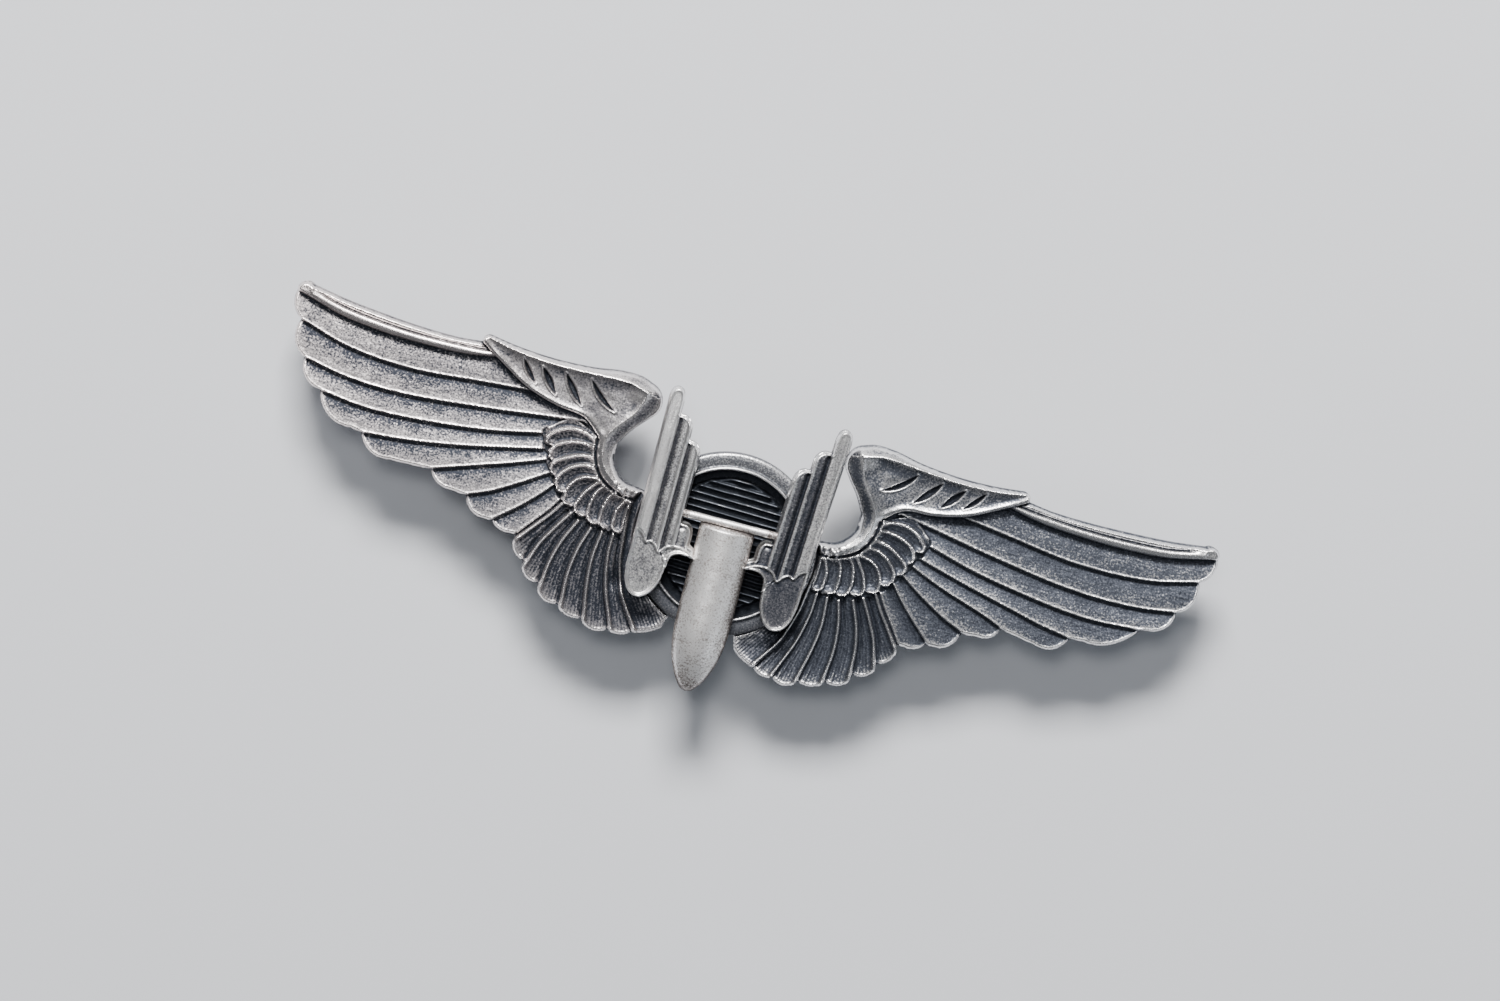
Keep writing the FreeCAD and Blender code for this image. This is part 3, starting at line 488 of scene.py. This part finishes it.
def shoulder_field(X, Y):
    """Height and tone of the slit shoulder, its upper ridge and its bevelled top."""
    up = beside(X, Y, extended(smooth_path(SHOULDER_RIDGE), 0.5, 1.0))
    neck = beside(X, Y, extended(smooth_path(NECK_RIDGE), 0.6, 0.5))
    foot = np.abs(beside(X, Y, smooth_path(SHOULDER_FOOT)))
    face = SHOULDER_FACE + 0.03 * ripple(X, Y, 1.1, 3) + 0.015 * ripple(X, Y, 0.45, 4)
    face = face + 0.26 * np.exp(-np.abs(up) / 0.30) + 0.20 * bell(foot - 0.30, 0.24)
    face = face + 0.20 * np.exp(-np.abs(neck) / NECK_SPREAD)
    bevel = BEVEL_TOP - 0.75 * ease(up / 0.95) ** 0.8
    side = SHOULDER_SIDE - 0.46 * ease(-neck / 1.35)
    above = up > 0
    h = np.where(above, np.minimum(bevel, RIDGE_TOP), face)
    left = neck < 0
    h = np.where(left, np.minimum(side, np.where(above, bevel, side)), h)
    knob = bell(np.hypot(X - KNOB[0], Y - KNOB[1]), 0.65)
    h = h + 0.10 * knob
    # Painted light and shade on the shoulder: a painted shadow just under the upper ridge, the bevel above it
    # painted dark as shade with a painted highlight along the ridge, painted highlights on the knob and the
    # neck's crest, and darker down the bay side of the neck; the face is also mottled at random.
    lit = 0.10 * ripple(X, Y, 0.8, 5) + 0.22 * bell(foot - 0.28, 0.16)
    lit = lit - 0.14 * np.exp(-np.abs(up + 0.5) / 0.4)
    tone = np.where(above, -0.16 + 0.30 * np.exp(-up / 0.15), lit - 0.04) + 0.32 * knob
    tone = tone + np.where(left & ~above, -0.26 * ease(-neck / 0.6), 0) + 0.16 * bell(neck, 0.25)
    for leaf in SLITS:
        outer = arc_path(leaf[0], leaf[1], leaf[2])
        inner = arc_path(leaf[2], leaf[3], leaf[0])
        d = within(X, Y, np.vstack([outer, inner]))
        lip = np.abs(beside(X, Y, outer))
        h = h - 0.42 * ease((d + 0.05) / 0.22) + 0.08 * bell(lip - 0.05, 0.09) * (d < 0.04)
    return np.minimum(h, WING_TOP), tone


def wing_relief():
    """Points, heights, edge distance and wear of a wing."""
    X, Y = grid_over((2.4, -9.9), (38.3, 11.1))
    edge = within(X, Y, wing_loop())
    h, tone = feather_field(X, Y, edge)
    coverts = within(X, Y, covert_loop())
    petals, petal_tone = covert_field(X, Y)
    collar = within(X, Y, collar_loop()) + 0.03
    root = np.exp(-np.maximum(-collar, 0) / 0.28) * ease((5.6 - Y) / 0.5)
    petals = petals + 0.42 * root
    petal_tone = petal_tone + 0.40 * root + 0.14 * np.exp(-np.maximum(coverts, 0) / 0.7)
    h = lay(h, petals, coverts, 0.12)
    tone = lay(tone, petal_tone, coverts, 0.12)

    neck = beside(X, Y, extended(smooth_path(NECK_RIDGE), 0.6, 0.5))
    bank = NECK_BANK + 0.34 * np.exp(-np.abs(neck) / NECK_SPREAD)
    bank = np.where(neck < 0, NECK_CREST - 0.46 * ease(-neck / 1.25), bank)
    rough = 0.16 * ripple(X, Y, 0.5, 21) + 0.08 * ripple(X, Y, 0.22, 22)
    lumps = bell(np.hypot(X - SOLDER[0], Y - SOLDER[1]), 1.4) * rough
    # Darker down the bay side of the neck's ridge, mottled at random.
    neck_tone = np.where(neck < 0, 0.22 - 0.46 * ease(-neck / 0.5) + 0.10 * ripple(X, Y, 0.5, 23), 0.22)
    high, shade = shoulder_field(X, Y)
    fold = ease(np.maximum((Y - 4.8) / 2.4, (neck - 1.2) / 1.5))
    over = (bank + lumps) * (1 - fold) + high * fold
    shade = neck_tone * (1 - fold) + shade * fold

    rim = within(X, Y, np.vstack([smooth_path(RIM_EDGE), arc_path(*RIM_END), smooth_path(RIM_FOOT)]))
    groove = np.abs(beside(X, Y, smooth_path(RIM_GROOVE)))
    bar = RIM_FLOOR + 0.52 * ease(rim / 0.24) - 0.26 * bell(groove, 0.10) * ease((36.6 - X) / 1.2)
    bar = bar + 0.04 * bell(groove - 0.33, 0.14)
    h = lay(h, np.maximum(bar, h), rim, 0.05)
    tone = lay(tone, 0.12, rim, 0.05)

    step = np.where(Y < 5.2, 0.34, 0.14)
    h = lay(h, over, collar, step)
    tone = lay(tone, shade, collar, step)
    h = rounded(h + 0.005 * ripple(X, Y, 0.2, 31), edge)
    return X, Y, h, edge, polish_and_shade_of(h, edge, tone)


def on_left(x, y):
    """The left wing is the drawn one, turned to the left."""
    return -x, y, True


# The right wing is shorter between its root and its tip.
RIGHT_INSET = 0.7
RIGHT_ROOT = 3.0, 6.0   # where the inset starts, and the width over which it grows
RIGHT_TIP = 34.0, 7.0   # where it ends, and the width over which it fades
# How the right wing differs besides: each row moves the points near (x, y) by (along, up).
RIGHT_SHIFTS = [
    # x, y, reach_x, reach_y, along, up
    (29.5, -0.2, 5.0, 2.4, -1.2, 0.0),
    (33.0, 1.6, 2.5, 1.6, -0.6, 0.0),
    (22.5, -1.4, 6.0, 2.6, 0.0, 0.55),
]


def on_right(x, y):
    """The right wing is not an exact mirror of the left."""
    grown = np.clip((x - RIGHT_ROOT[0]) / RIGHT_ROOT[1], 0, 1)
    faded = np.clip((RIGHT_TIP[0] - x) / RIGHT_TIP[1], 0, 1)
    moved_x = x - RIGHT_INSET * faded * grown
    moved_y = y.copy()
    for near_x, near_y, reach_x, reach_y, along, up in RIGHT_SHIFTS:
        share = np.exp(-(((x - near_x) / reach_x) ** 2) - ((y - near_y) / reach_y) ** 2)
        moved_x = moved_x + along * share
        moved_y = moved_y + up * share
    return moved_x, moved_y, False


BACK = 0.0
RIGHT_WING_PAINTED_LIGHT = 0.06  # painted light: the right wing is painted a little brighter than the left one
*wing_shape, wing_polish_and_shade = wing_relief()
right_polish_and_shade = np.clip(wing_polish_and_shade + RIGHT_WING_PAINTED_LIGHT, 0, 1)
wings = [
    relief("wing_left_relief", *wing_shape, wing_polish_and_shade, BACK, on_left),
    relief("wing_right_relief", *wing_shape, right_polish_and_shade, BACK, on_right),
]


# ---------------------------------------------------------------- winged bullet
# Each emblem piece sits a little askew: turn in degrees, then how far across and up.
ASKEW = {"bullet": (1.9, -0.16, 0.0), "left": (0.95, -0.05, -0.12), "right": (-0.9, -0.26, 0.27)}
EMBLEM_BASE = 1.5
# Outline of a winglet: its long feather, two stepped ones, a short one, the arm and the lobe.
WINGLET_BAR = [(7.2, 0.0), (7.36, 9.8), (7.34, 10.6), (7.16, 11.08), (6.74, 11.27), (6.32, 11.06),
               (6.14, 10.5), (6.1, 9.2)]
WINGLET_STEPS = [
    [(6.1, 9.2), (5.5, 9.15), (5.0, 8.6), (4.88, 7.4)],
    [(4.88, 7.4), (4.3, 7.3), (3.85, 6.7), (3.75, 5.6)],
]
SHORT_FEATHER = [(3.75, 1.1), (3.1, 1.0), (2.75, 0.5), (2.7, -0.6)]
WINGLET_ARM = [(2.1, -0.95), (2.1, -1.6), (3.2, -1.5), (3.85, -1.85), (4.1, -3.0)]
WINGLET_LOBE = [(4.1, -3.0), (4.3, -4.2), (4.85, -5.15), (5.65, -5.62), (6.45, -5.35), (6.95, -4.5),
                (7.15, -3.4)]
# Scalloped upper edge of the lobe and the arm, across the feathers' feet.
LOBE_EDGE = [
    [(7.5, -0.05), (7.1, -0.2), (6.6, -0.4), (6.3, -0.7), (6.1, -1.05)],
    [(6.1, -1.05), (5.85, -0.92), (5.6, -0.95), (5.25, -1.2), (4.95, -1.6)],
    [(4.95, -1.6), (4.6, -1.15), (4.15, -0.93), (3.6, -0.83), (2.9, -0.95), (2.0, -1.45)],
]
LONG_FEATHER = 6.07, 1.2                     # inner side of the longest feather, and its width
STEPPED_FEATHERS = (4.9, 6.07), (3.78, 4.9)  # inner and outer side of the two stepped ones
SHORT_FEATHER_SIDE = 2.6
# Levels of the winglet above the badge's back.
LONG_TOP, STEPPED_TOP, SHORT_FACE, LOBE_FACE, LOBE_TOP = 3.26, 3.18, 2.75, 3.02, 3.28
WINGLET_DROP = 0.8


def winglet_loop():
    """The whole outline of a winglet."""
    second, third = WINGLET_STEPS
    runs = [np.array([WINGLET_BAR[0]]), smooth_path(WINGLET_BAR[1:]), smooth_path(second), smooth_path(third)]
    runs += [smooth_path(SHORT_FEATHER), np.array([WINGLET_ARM[0]]), smooth_path(WINGLET_ARM[1:])]
    return np.vstack(runs + [smooth_path(WINGLET_LOBE)])


def winglet_relief():
    """Three stepped feathers, a short one and the rimmed lobe that holds them."""
    X, Y = grid_over((1.9, -5.9), (7.6, 11.5))
    edge = within(X, Y, winglet_loop())
    side, width = LONG_FEATHER
    broad = (X - WINGLET_BAR[-1][0]) / width
    h = LONG_TOP - 0.14 * np.clip(broad - 0.3, 0, 1) ** 2 - 0.45 * (1 - ease((X - 6.05) / 0.15))
    tone = np.where(X > side, 0.26 + 0.14 * ease((broad - 0.4) / 0.6), 0.0)
    for inner, outer in STEPPED_FEATHERS:
        u = (X - inner) / (outer - inner)
        channel = 0.36 * ease((u - 0.60) / 0.40) * ease(edge / 0.45)
        bar = STEPPED_TOP - 0.08 * ease(u / 0.5) - channel + 0.07 * bell(u - 0.2, 0.14)
        bar = bar - 0.42 * (1 - ease((X - inner) / 0.13))
        here = (X > inner) & (X <= outer)
        h = np.where(here, bar, h)
        lit = 0.46 * bell(u - 0.2, 0.13) - 0.16 + 0.40 * bell(edge - 0.16, 0.10)
        tone = np.where(here, lit, tone)
    stub = np.minimum(edge, X - SHORT_FEATHER_SIDE)
    short = SHORT_FACE + 0.20 * bell(stub - 0.30, 0.12) + 0.12 * ease((stub - 0.45) / 0.3)
    h = np.where(X <= STEPPED_FEATHERS[-1][0], short, h)
    h = h + 0.03 * bell(edge - 0.2, 0.1) + 0.008 * ripple(X * 2, Y * 0.3, 0.3, 41)
    h = rounded(h, edge)

    border = np.vstack([smooth_path(p) for p in LOBE_EDGE])
    over = beside(X, Y, border)
    lobe = LOBE_FACE + 0.012 * ripple(X, Y, 0.7, 42)
    near = np.minimum(np.abs(over), np.maximum(edge, 0))
    lobe = lobe + 0.22 * bell(near - 0.12, 0.10) - 0.10 * (1 - ease(edge / 0.10))
    h = lay(h, np.minimum(lobe, LOBE_TOP), over, 0.10)
    mottle = -0.02 + 0.10 * ripple(X, Y, 0.9, 43)
    tone = lay(tone, mottle + 0.70 * bell(near - 0.14, 0.11), over, 0.10)
    return X, Y, h, edge, polish_and_shade_of(h, edge, tone, WINGLET_DROP)


def emblem(whose="bullet"):
    """Maps an emblem piece's own upright frame to the badge, where it sits slightly askew."""
    degrees, across, up = ASKEW[whose]
    turn = radians(degrees)
    side = -1 if whose == "left" else 1

    def place(x, y):
        x = side * x
        return x * cos(turn) - y * sin(turn) + across, x * sin(turn) + y * cos(turn) + up, side < 0
    return place


*winglet_shape, winglet_polish_and_shade = winglet_relief()
winglets = []
for side, painted_light in (("left", 0.20), ("right", -0.20)):  # painted light: the left one is painted brighter and the right one darker
    side_polish_and_shade = np.clip(winglet_polish_and_shade + painted_light, 0, 1)
    winglets.append(relief(f"winglet_{side}_relief", *winglet_shape, side_polish_and_shade, EMBLEM_BASE, emblem(side)))

CREST = 3.885         # the bullet's highest line, above the badge's back
CROWN = 0.55          # how much the crown's radius is larger than the bullet's half width
NOSE_END = -12.15
BULLET_EDGE = 0.30
SCRATCH = -1.35, -8.2  # middle of a scratch across the bullet
# Right side of the bullet, from its base to its blunt nose.
BULLET_SIDE = [(2.2, 1.35), (2.2, -2.0), (2.2, -5.6), (2.16, -7.2), (2.0, -8.6), (1.7, -9.8), (1.27, -10.8),
               (0.86, -11.5), (0.45, -11.98), (0.0, NOSE_END)]


def bullet_relief():
    """Crowned bullet with a rounded edge and one light scratch."""
    X, Y = grid_over((-2.4, -12.4), (2.4, 1.6))
    flank = smooth_path(BULLET_SIDE)
    edge = within(X, Y, np.vstack([flank, flank[::-1] * (-1, 1)]))
    reach = CROWN + np.interp(-Y, -flank[:, 1], flank[:, 0])  # radius of the crown at each height
    reach = reach * np.where(Y < NOSE_END, 0.6, 1)
    axis = CREST - BULLET_SIDE[0][0] - CROWN
    h = axis + np.sqrt(np.maximum(reach**2 - X**2, 0.3))
    h = h - EDGE_DROP * (1 - ease(edge / BULLET_EDGE)) + 0.008 * ripple(X, Y, 0.5, 51)
    scratch = np.hypot((X - SCRATCH[0]) / 6, Y - SCRATCH[1] + 0.06 * X)
    h = h - 0.02 * bell(scratch, 0.07)
    # Painted shade darkens the bullet's right side; it is also darker round its edge, towards its nose and
    # along the scratch.
    polish_and_shade = 0.84 + 0.10 * ripple(X, Y, 0.9, 52) - 0.60 * (1 - ease(edge / 0.24))
    polish_and_shade = polish_and_shade - 0.26 * ease((-Y - 9.6) / 2.2) - 0.3 * bell(scratch, 0.08) - 0.24 * ease((X - 1.2) / 0.9)
    return X, Y, h, edge, np.clip(polish_and_shade, 0, 1)


bullet = relief("bullet_crowned", *bullet_relief(), EMBLEM_BASE, emblem())


BAR_HALF, BAR_RADIUS, BAR_DOME = 3.95, 0.30, 0.18
BAR_Y, BAR_Z = 1.72, 2.75
BAR_STATIONS, BAR_SIDES = 121, 28


def cross_bar():
    """Slightly uneven round bar with domed ends, across the bullet's base."""
    points, wear_and_shade, faces = [], [], []
    place = emblem()
    for u in np.linspace(-1, 1, BAR_STATIONS):
        x = BAR_HALF * u
        dome = np.sqrt(max(1 - max((abs(x) - BAR_HALF + BAR_DOME) / BAR_DOME, 0) ** 2, 0.02))
        r = BAR_RADIUS * dome * (1 + 0.03 * sin(9 * u + 1) * (abs(u) < 0.9)) * 0.985
        for k in range(BAR_SIDES):
            a = 2 * pi * k / BAR_SIDES
            bx, by, _ = place(x, BAR_Y + r * cos(a))
            points.append((bx * MM, by * MM, (BAR_Z + r * sin(a)) * MM))
            wear_and_shade.append(0.9 if sin(a) > -0.2 and abs(x) < 3.2 else 0.45)
    for i in range(BAR_STATIONS - 1):
        for k in range(BAR_SIDES):
            here, there = i * BAR_SIDES, (i + 1) * BAR_SIDES
            m = (k + 1) % BAR_SIDES
            faces.append((here + k, here + m, there + m, there + k))
    faces.append(tuple(range(BAR_SIDES))[::-1])
    faces.append(tuple((BAR_STATIONS - 1) * BAR_SIDES + k for k in range(BAR_SIDES)))
    return made("cross_bar_round", points, faces, wear_and_shade)


bar = cross_bar()

# ---------------------------------------------------------------- ring and ribbed disc
RING_SECTION = [  # radius, height, polish, from the back of the hole round the outside
    (5.90, 0.0, 0.3), (7.20, 0.0, 0.3), (7.28, 0.08, 0.4), (7.28, 1.45, 0.25), (7.25, 1.58, 0.55),
    (7.17, 1.66, 0.66), (7.05, 1.69, 0.50), (6.8, 1.70, 0.42), (6.5, 1.70, 0.42), (6.32, 1.68, 0.36),
    (6.22, 1.69, 0.36), (6.17, 1.78, 0.5), (6.12, 1.87, 0.8), (6.05, 1.90, 1.0), (5.98, 1.87, 0.9),
    (5.92, 1.78, 0.5), (5.90, 1.62, 0.15), (5.90, 0.8, 0.1),
]
RING_SEGMENTS = 240


def ring_band():
    """The ring's section turned round the z axis; its lower half is darker, partly oxide and partly painted
    shadow cast by the bullet and the lobes.
    """
    points, wear_and_shade, faces = [], [], []
    angles = np.linspace(0, 2 * pi, RING_SEGMENTS, endpoint=False)
    for r, z, p in RING_SECTION:
        points += [(r * cos(a) * MM, r * sin(a) * MM, z * MM) for a in angles]
        # Darker towards the bottom: oxide and painted shadow.
        wear_and_shade += [p * (0.86 + 0.22 * sin(a)) for a in angles]
    for row in range(len(RING_SECTION)):
        here, there = row * RING_SEGMENTS, (row + 1) % len(RING_SECTION) * RING_SEGMENTS
        for i in range(RING_SEGMENTS):
            j = (i + 1) % RING_SEGMENTS
            faces.append((here + i, here + j, there + j, there + i))
    return made("ring_band_turned", points, faces, wear_and_shade)


ring = ring_band()

DISC_RADIUS, RIB_RADIUS, RIB_PITCH = 5.97, 5.3, 0.57
DISC_FACE, RIB_FLOOR, RIB_HEIGHT, RIB_TOP = 0.80, 1.06, 0.44, 1.56
RIB_RIM = 5.05


def disc_relief():
    """Straight uneven ribs across a raised round field."""
    X, Y = grid_over((-6.2, -6.2), (6.2, 6.2))
    R = np.hypot(X, Y)
    wave = (Y + 0.05 * ripple(X, Y, 2.5, 61)) / RIB_PITCH
    rib = bell(wave - np.round(wave), 0.17)
    h = RIB_FLOOR + RIB_HEIGHT * rib * (1 + 0.14 * ripple(X, Y, 0.6, 62))
    h = DISC_FACE + (h - DISC_FACE) * ease((RIB_RADIUS - R) / 0.25)
    h = np.minimum(h + 0.12 * bell(R - RIB_RIM, 0.14), RIB_TOP)
    wear_and_shade = 0.02 + 0.64 * rib**1.8 * (0.75 + 0.25 * ripple(X * 0.4, Y * 3, 0.5, 63)) * (R < RIB_RADIUS)
    return X, Y, h, DISC_RADIUS - R, np.clip(wear_and_shade, 0, 1)


disc = relief("disc_ribs", *disc_relief(), BACK)


# ---------------------------------------------------------------- materials
# Scale (waves to a metre) and detail of the noises.
BLOTCH_NOISE, DUST_NOISE, FINE_NOISE = (900, 3), (6500, 2), (11000, 2)
PIT_NOISE, DRAWN_NOISE = (14000, 2), (6000, 2)
TINT_FROM, TINT_TO = -0.036, 0.010          # the warm tint fades out between these, along x, m
BUMP_STRENGTH, BUMP_HEIGHT = 0.55, 0.00003  # height in m


def silver(name, oxide, middle, bright, grain=0.16, rough=(0.55, 0.34), metal=(0.7, 1.0), tint=None,
           drawn=None, flat=None):
    """Oxidised silver: dark in the hollows, worn bright and frosted on the ridges.

    rough and metal are each a value for the dark and one for the bright parts. tint warms one side,
    drawn stretches fine lines along the piece, and flat replaces the stored wear and painted shade by one
    amount."""
    mat = bpy.data.materials.new(name)
    mat.use_nodes = True
    nodes, links = mat.node_tree.nodes, mat.node_tree.links
    nodes.clear()

    def math(kind, a, b):
        n = nodes.new("ShaderNodeMath")
        n.operation = kind
        for socket, value in zip(n.inputs, (a, b)):
            if isinstance(value, (int, float)):
                socket.default_value = value
            else:
                links.new(value, socket)
        return n.outputs[0]

    def spread(value, low, high, to_low=0.0, to_high=1.0):
        n = nodes.new("ShaderNodeMapRange")
        n.clamp = True
        links.new(value, n.inputs["Value"])
        for key, v in (("From Min", low), ("From Max", high), ("To Min", to_low), ("To Max", to_high)):
            n.inputs[key].default_value = v
        return n.outputs["Result"]

    def mixed(share, a, b):
        n = nodes.new("ShaderNodeMix")
        n.data_type = "RGBA"
        links.new(share, n.inputs[0])
        for socket, value in ((n.inputs[6], a), (n.inputs[7], b)):
            if isinstance(value, tuple):
                socket.default_value = (*value, 1)
            else:
                links.new(value, socket)
        return n.outputs[2]

    def noise(scale, detail, stretch=None):
        n = nodes.new("ShaderNodeTexNoise")
        n.inputs["Scale"].default_value = scale
        n.inputs["Detail"].default_value = detail
        if stretch:
            m = nodes.new("ShaderNodeMapping")
            m.inputs["Scale"].default_value = stretch
            links.new(where, m.inputs["Vector"])
            links.new(m.outputs[0], n.inputs["Vector"])
        else:
            links.new(where, n.inputs["Vector"])
        return n.outputs["Fac"]

    where = nodes.new("ShaderNodeTexCoord").outputs["Object"]
    blotch, fine, dust = noise(*BLOTCH_NOISE), noise(*FINE_NOISE), noise(*DUST_NOISE)
    if flat is None:
        # The stored value holds wear and oxide together with painted light and shade.
        attr = nodes.new("ShaderNodeAttribute")
        attr.attribute_name = "polish_and_shade"
        wear_and_shade = attr.outputs["Fac"]
    else:
        wear_and_shade = spread(blotch, 0.3, 0.7, flat - 0.12, flat + 0.12)
    speck = math("ADD", math("MULTIPLY", math("SUBTRACT", dust, 0.5), grain * 2.4),
                 math("MULTIPLY", math("SUBTRACT", fine, 0.5), grain * 1.6))
    patch = math("MULTIPLY", math("SUBTRACT", blotch, 0.5), grain * 0.7)
    amount = math("ADD", math("ADD", wear_and_shade, speck), patch)
    share = spread(amount, 0.1, 0.9)
    body = mixed(spread(amount, 0.02, 0.50), oxide, middle)
    body = mixed(spread(amount, 0.44, 0.90), body, bright)
    if tint:
        side = nodes.new("ShaderNodeSeparateXYZ")
        links.new(where, side.inputs[0])
        warm = spread(side.outputs["X"], TINT_FROM, TINT_TO, 1.0, 0.0)
        body = mixed(math("MULTIPLY", warm, share), body, tint)
    shader = nodes.new("ShaderNodeBsdfPrincipled")
    links.new(body, shader.inputs["Base Color"])
    links.new(spread(amount, 0.1, 0.5, *metal), shader.inputs["Metallic"])
    links.new(spread(amount, 0.2, 0.9, rough[0], rough[1]), shader.inputs["Roughness"])
    pitting = noise(*PIT_NOISE)
    relief_in = math("ADD", math("MULTIPLY", fine, 0.6), math("MULTIPLY", pitting, 0.5))
    if drawn:
        relief_in = math("ADD", relief_in, math("MULTIPLY", noise(*DRAWN_NOISE, drawn), 1.5))
    bump = nodes.new("ShaderNodeBump")
    bump.inputs["Strength"].default_value = BUMP_STRENGTH
    bump.inputs["Distance"].default_value = BUMP_HEIGHT
    links.new(relief_in, bump.inputs["Height"])
    links.new(bump.outputs[0], shader.inputs["Normal"])
    out = nodes.new("ShaderNodeOutputMaterial")
    links.new(shader.outputs[0], out.inputs["Surface"])
    return mat


OXIDE = (0.018, 0.022, 0.032)
struck = silver("struck_silver", OXIDE, (0.105, 0.115, 0.14), (0.93, 0.92, 0.92), grain=0.46,
                rough=(0.6, 0.27), tint=(0.95, 0.86, 0.83))
lobed = silver("winglet_silver", OXIDE, (0.15, 0.15, 0.165), (0.98, 0.97, 0.96), grain=0.50,
               rough=(0.6, 0.30))
darkened = silver("dark_silver", (0.010, 0.013, 0.019), (0.10, 0.11, 0.13), (0.75, 0.76, 0.78),
                  rough=(0.6, 0.28))
band = silver("ring_silver", OXIDE, (0.15, 0.155, 0.17), (0.85, 0.85, 0.86), grain=0.40, rough=(0.6, 0.28))
frosted = silver("bright_silver", (0.07, 0.06, 0.06), (0.36, 0.32, 0.30), (0.99, 0.98, 0.97), grain=0.62,
                 rough=(0.55, 0.40), metal=(0.7, 0.85))
fitting = silver("fitting_nickel", (0.08, 0.075, 0.065), (0.36, 0.34, 0.31), (0.70, 0.68, 0.64), flat=0.62,
                 rough=(0.5, 0.3))
wire = silver("pin_wire", (0.15, 0.15, 0.14), (0.5, 0.49, 0.47), (0.82, 0.81, 0.79), flat=0.75,
              rough=(0.36, 0.22), drawn=(0.02, 1, 1), grain=0.08)

DRESSED = [  # piece, material, material slot of the part, node of the part that it replaces
    (wings[0], struck, "struck_silver", "left_wing"),
    (wings[1], struck, "struck_silver", "right_wing"),
    (winglets[0], lobed, "struck_silver", "left_winglet"),
    (winglets[1], lobed, "struck_silver", "right_winglet"),
    (ring, band, "struck_silver", "centre_ring"),
    (disc, darkened, "dark_silver", "ribbed_disc"),
    (bullet, frosted, "bright_silver", "bullet"),
    (bar, frosted, "bright_silver", "cross_bar"),
]
for piece, mat, slot, node in DRESSED:
    piece.data.materials.append(mat)
    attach(piece, "badge")
    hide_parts(node)

FITTINGS = ["hinge_pad", "hinge_bracket", "hinge_rivet", "catch_pad", "catch_housing", "catch_rotor",
            "pin_stem"]
for name in FITTINGS:
    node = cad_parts[name]
    node.data.materials.clear()
    node.data.materials.append(wire if name == "pin_stem" else fitting)


# ---------------------------------------------------------------- floor, light and camera
def plain(name, color, rough):
    """Matt material, very slightly uneven in tone."""
    mat = bpy.data.materials.new(name)
    mat.use_nodes = True
    nodes, links = mat.node_tree.nodes, mat.node_tree.links
    shader = nodes["Principled BSDF"]
    cloud = nodes.new("ShaderNodeTexNoise")
    cloud.inputs["Scale"].default_value = 60
    cloud.inputs["Detail"].default_value = 4
    ramp = nodes.new("ShaderNodeMix")
    ramp.data_type = "RGBA"
    ramp.inputs[6].default_value = (*[c * 0.97 for c in color], 1)
    ramp.inputs[7].default_value = (*color, 1)
    where = nodes.new("ShaderNodeTexCoord")
    links.new(where.outputs["Object"], cloud.inputs["Vector"])
    links.new(cloud.outputs["Fac"], ramp.inputs[0])
    links.new(ramp.outputs[2], shader.inputs["Base Color"])
    shader.inputs["Roughness"].default_value = rough
    return mat


# From here on lengths are in metres unless they are multiplied by MM.
FLOOR_SPAN, FLOOR_GAP = 3.0, 0.00002
floor_mesh = bpy.data.meshes.new("floor")
half = FLOOR_SPAN / 2
level = CAD_BOX[0].z - FLOOR_GAP
corners = [(-half, -half, level), (half, -half, level), (half, half, level), (-half, half, level)]
floor_mesh.from_pydata(corners, [], [(0, 1, 2, 3)])
floor = bpy.data.objects.new("floor", floor_mesh)
bpy.context.scene.collection.objects.link(floor)
floor_mesh.materials.append(plain("pale_floor", (0.70, 0.72, 0.76), 0.85))

# How the badge lies in front of the camera: tipped about x, then y, and turned in the frame.
LEAN, SWAY, TURN = radians(5), radians(1.08), radians(-16.5)
tilt = Matrix.Rotation(LEAN, 3, "X") @ Matrix.Rotation(SWAY, 3, "Y") @ Matrix.Rotation(TURN, 3, "Z")
facing = Matrix.Diagonal((1, -1, -1)) @ tilt
FACE = 1.6                                 # height of the point that the camera is placed by, mm
FACE_SEEN = Vector((-1.95, 3.47, 316.75))  # that point in the camera's frame: right, down, ahead, mm
LENS, SENSOR, NEAR, FAR = 96, 36, 0.01, 10
offset = (FACE_SEEN - facing @ Vector((0, 0, FACE))) * MM
right, down, ahead = facing[0].copy(), facing[1].copy(), facing[2].copy()
camera = bpy.data.objects.new("camera", bpy.data.cameras.new("camera"))
camera.data.lens, camera.data.sensor_width = LENS, SENSOR
camera.data.clip_start, camera.data.clip_end = NEAR, FAR
axes = Matrix((right, -down, -ahead)).transposed()
camera.matrix_world = Matrix.Translation(-(facing.transposed() @ offset)) @ axes.to_4x4()
bpy.context.scene.collection.objects.link(camera)
bpy.context.scene.camera = camera


def panel_light(name, place, size, power, color=(1, 1, 1)):
    """Soft rectangular light aimed at the badge."""
    lamp = bpy.data.lights.new(name, "AREA")
    lamp.shape, lamp.size, lamp.size_y = "RECTANGLE", size[0], size[1]
    lamp.energy, lamp.color = power, color
    holder = bpy.data.objects.new(name, lamp)
    holder.location = place
    holder.rotation_mode = "QUATERNION"
    holder.rotation_quaternion = (-Vector(place)).to_track_quat("-Z", "Y")
    bpy.context.scene.collection.objects.link(holder)


panel_light("key", (-0.12, 0.42, 0.38), (0.24, 0.14), 8.0, (1.0, 0.98, 0.96))
panel_light("fill", (0.45, -0.20, 0.35), (0.30, 0.30), 0.4, (0.88, 0.93, 1.0))
panel_light("overhead", (-0.10, 0.16, 0.60), (0.16, 0.14), 0.8)

world = bpy.data.worlds.new("studio")
world.use_nodes = True
background = world.node_tree.nodes["Background"]
background.inputs["Color"].default_value = (0.80, 0.84, 0.90, 1)
background.inputs["Strength"].default_value = 0.14
bpy.context.scene.world = world
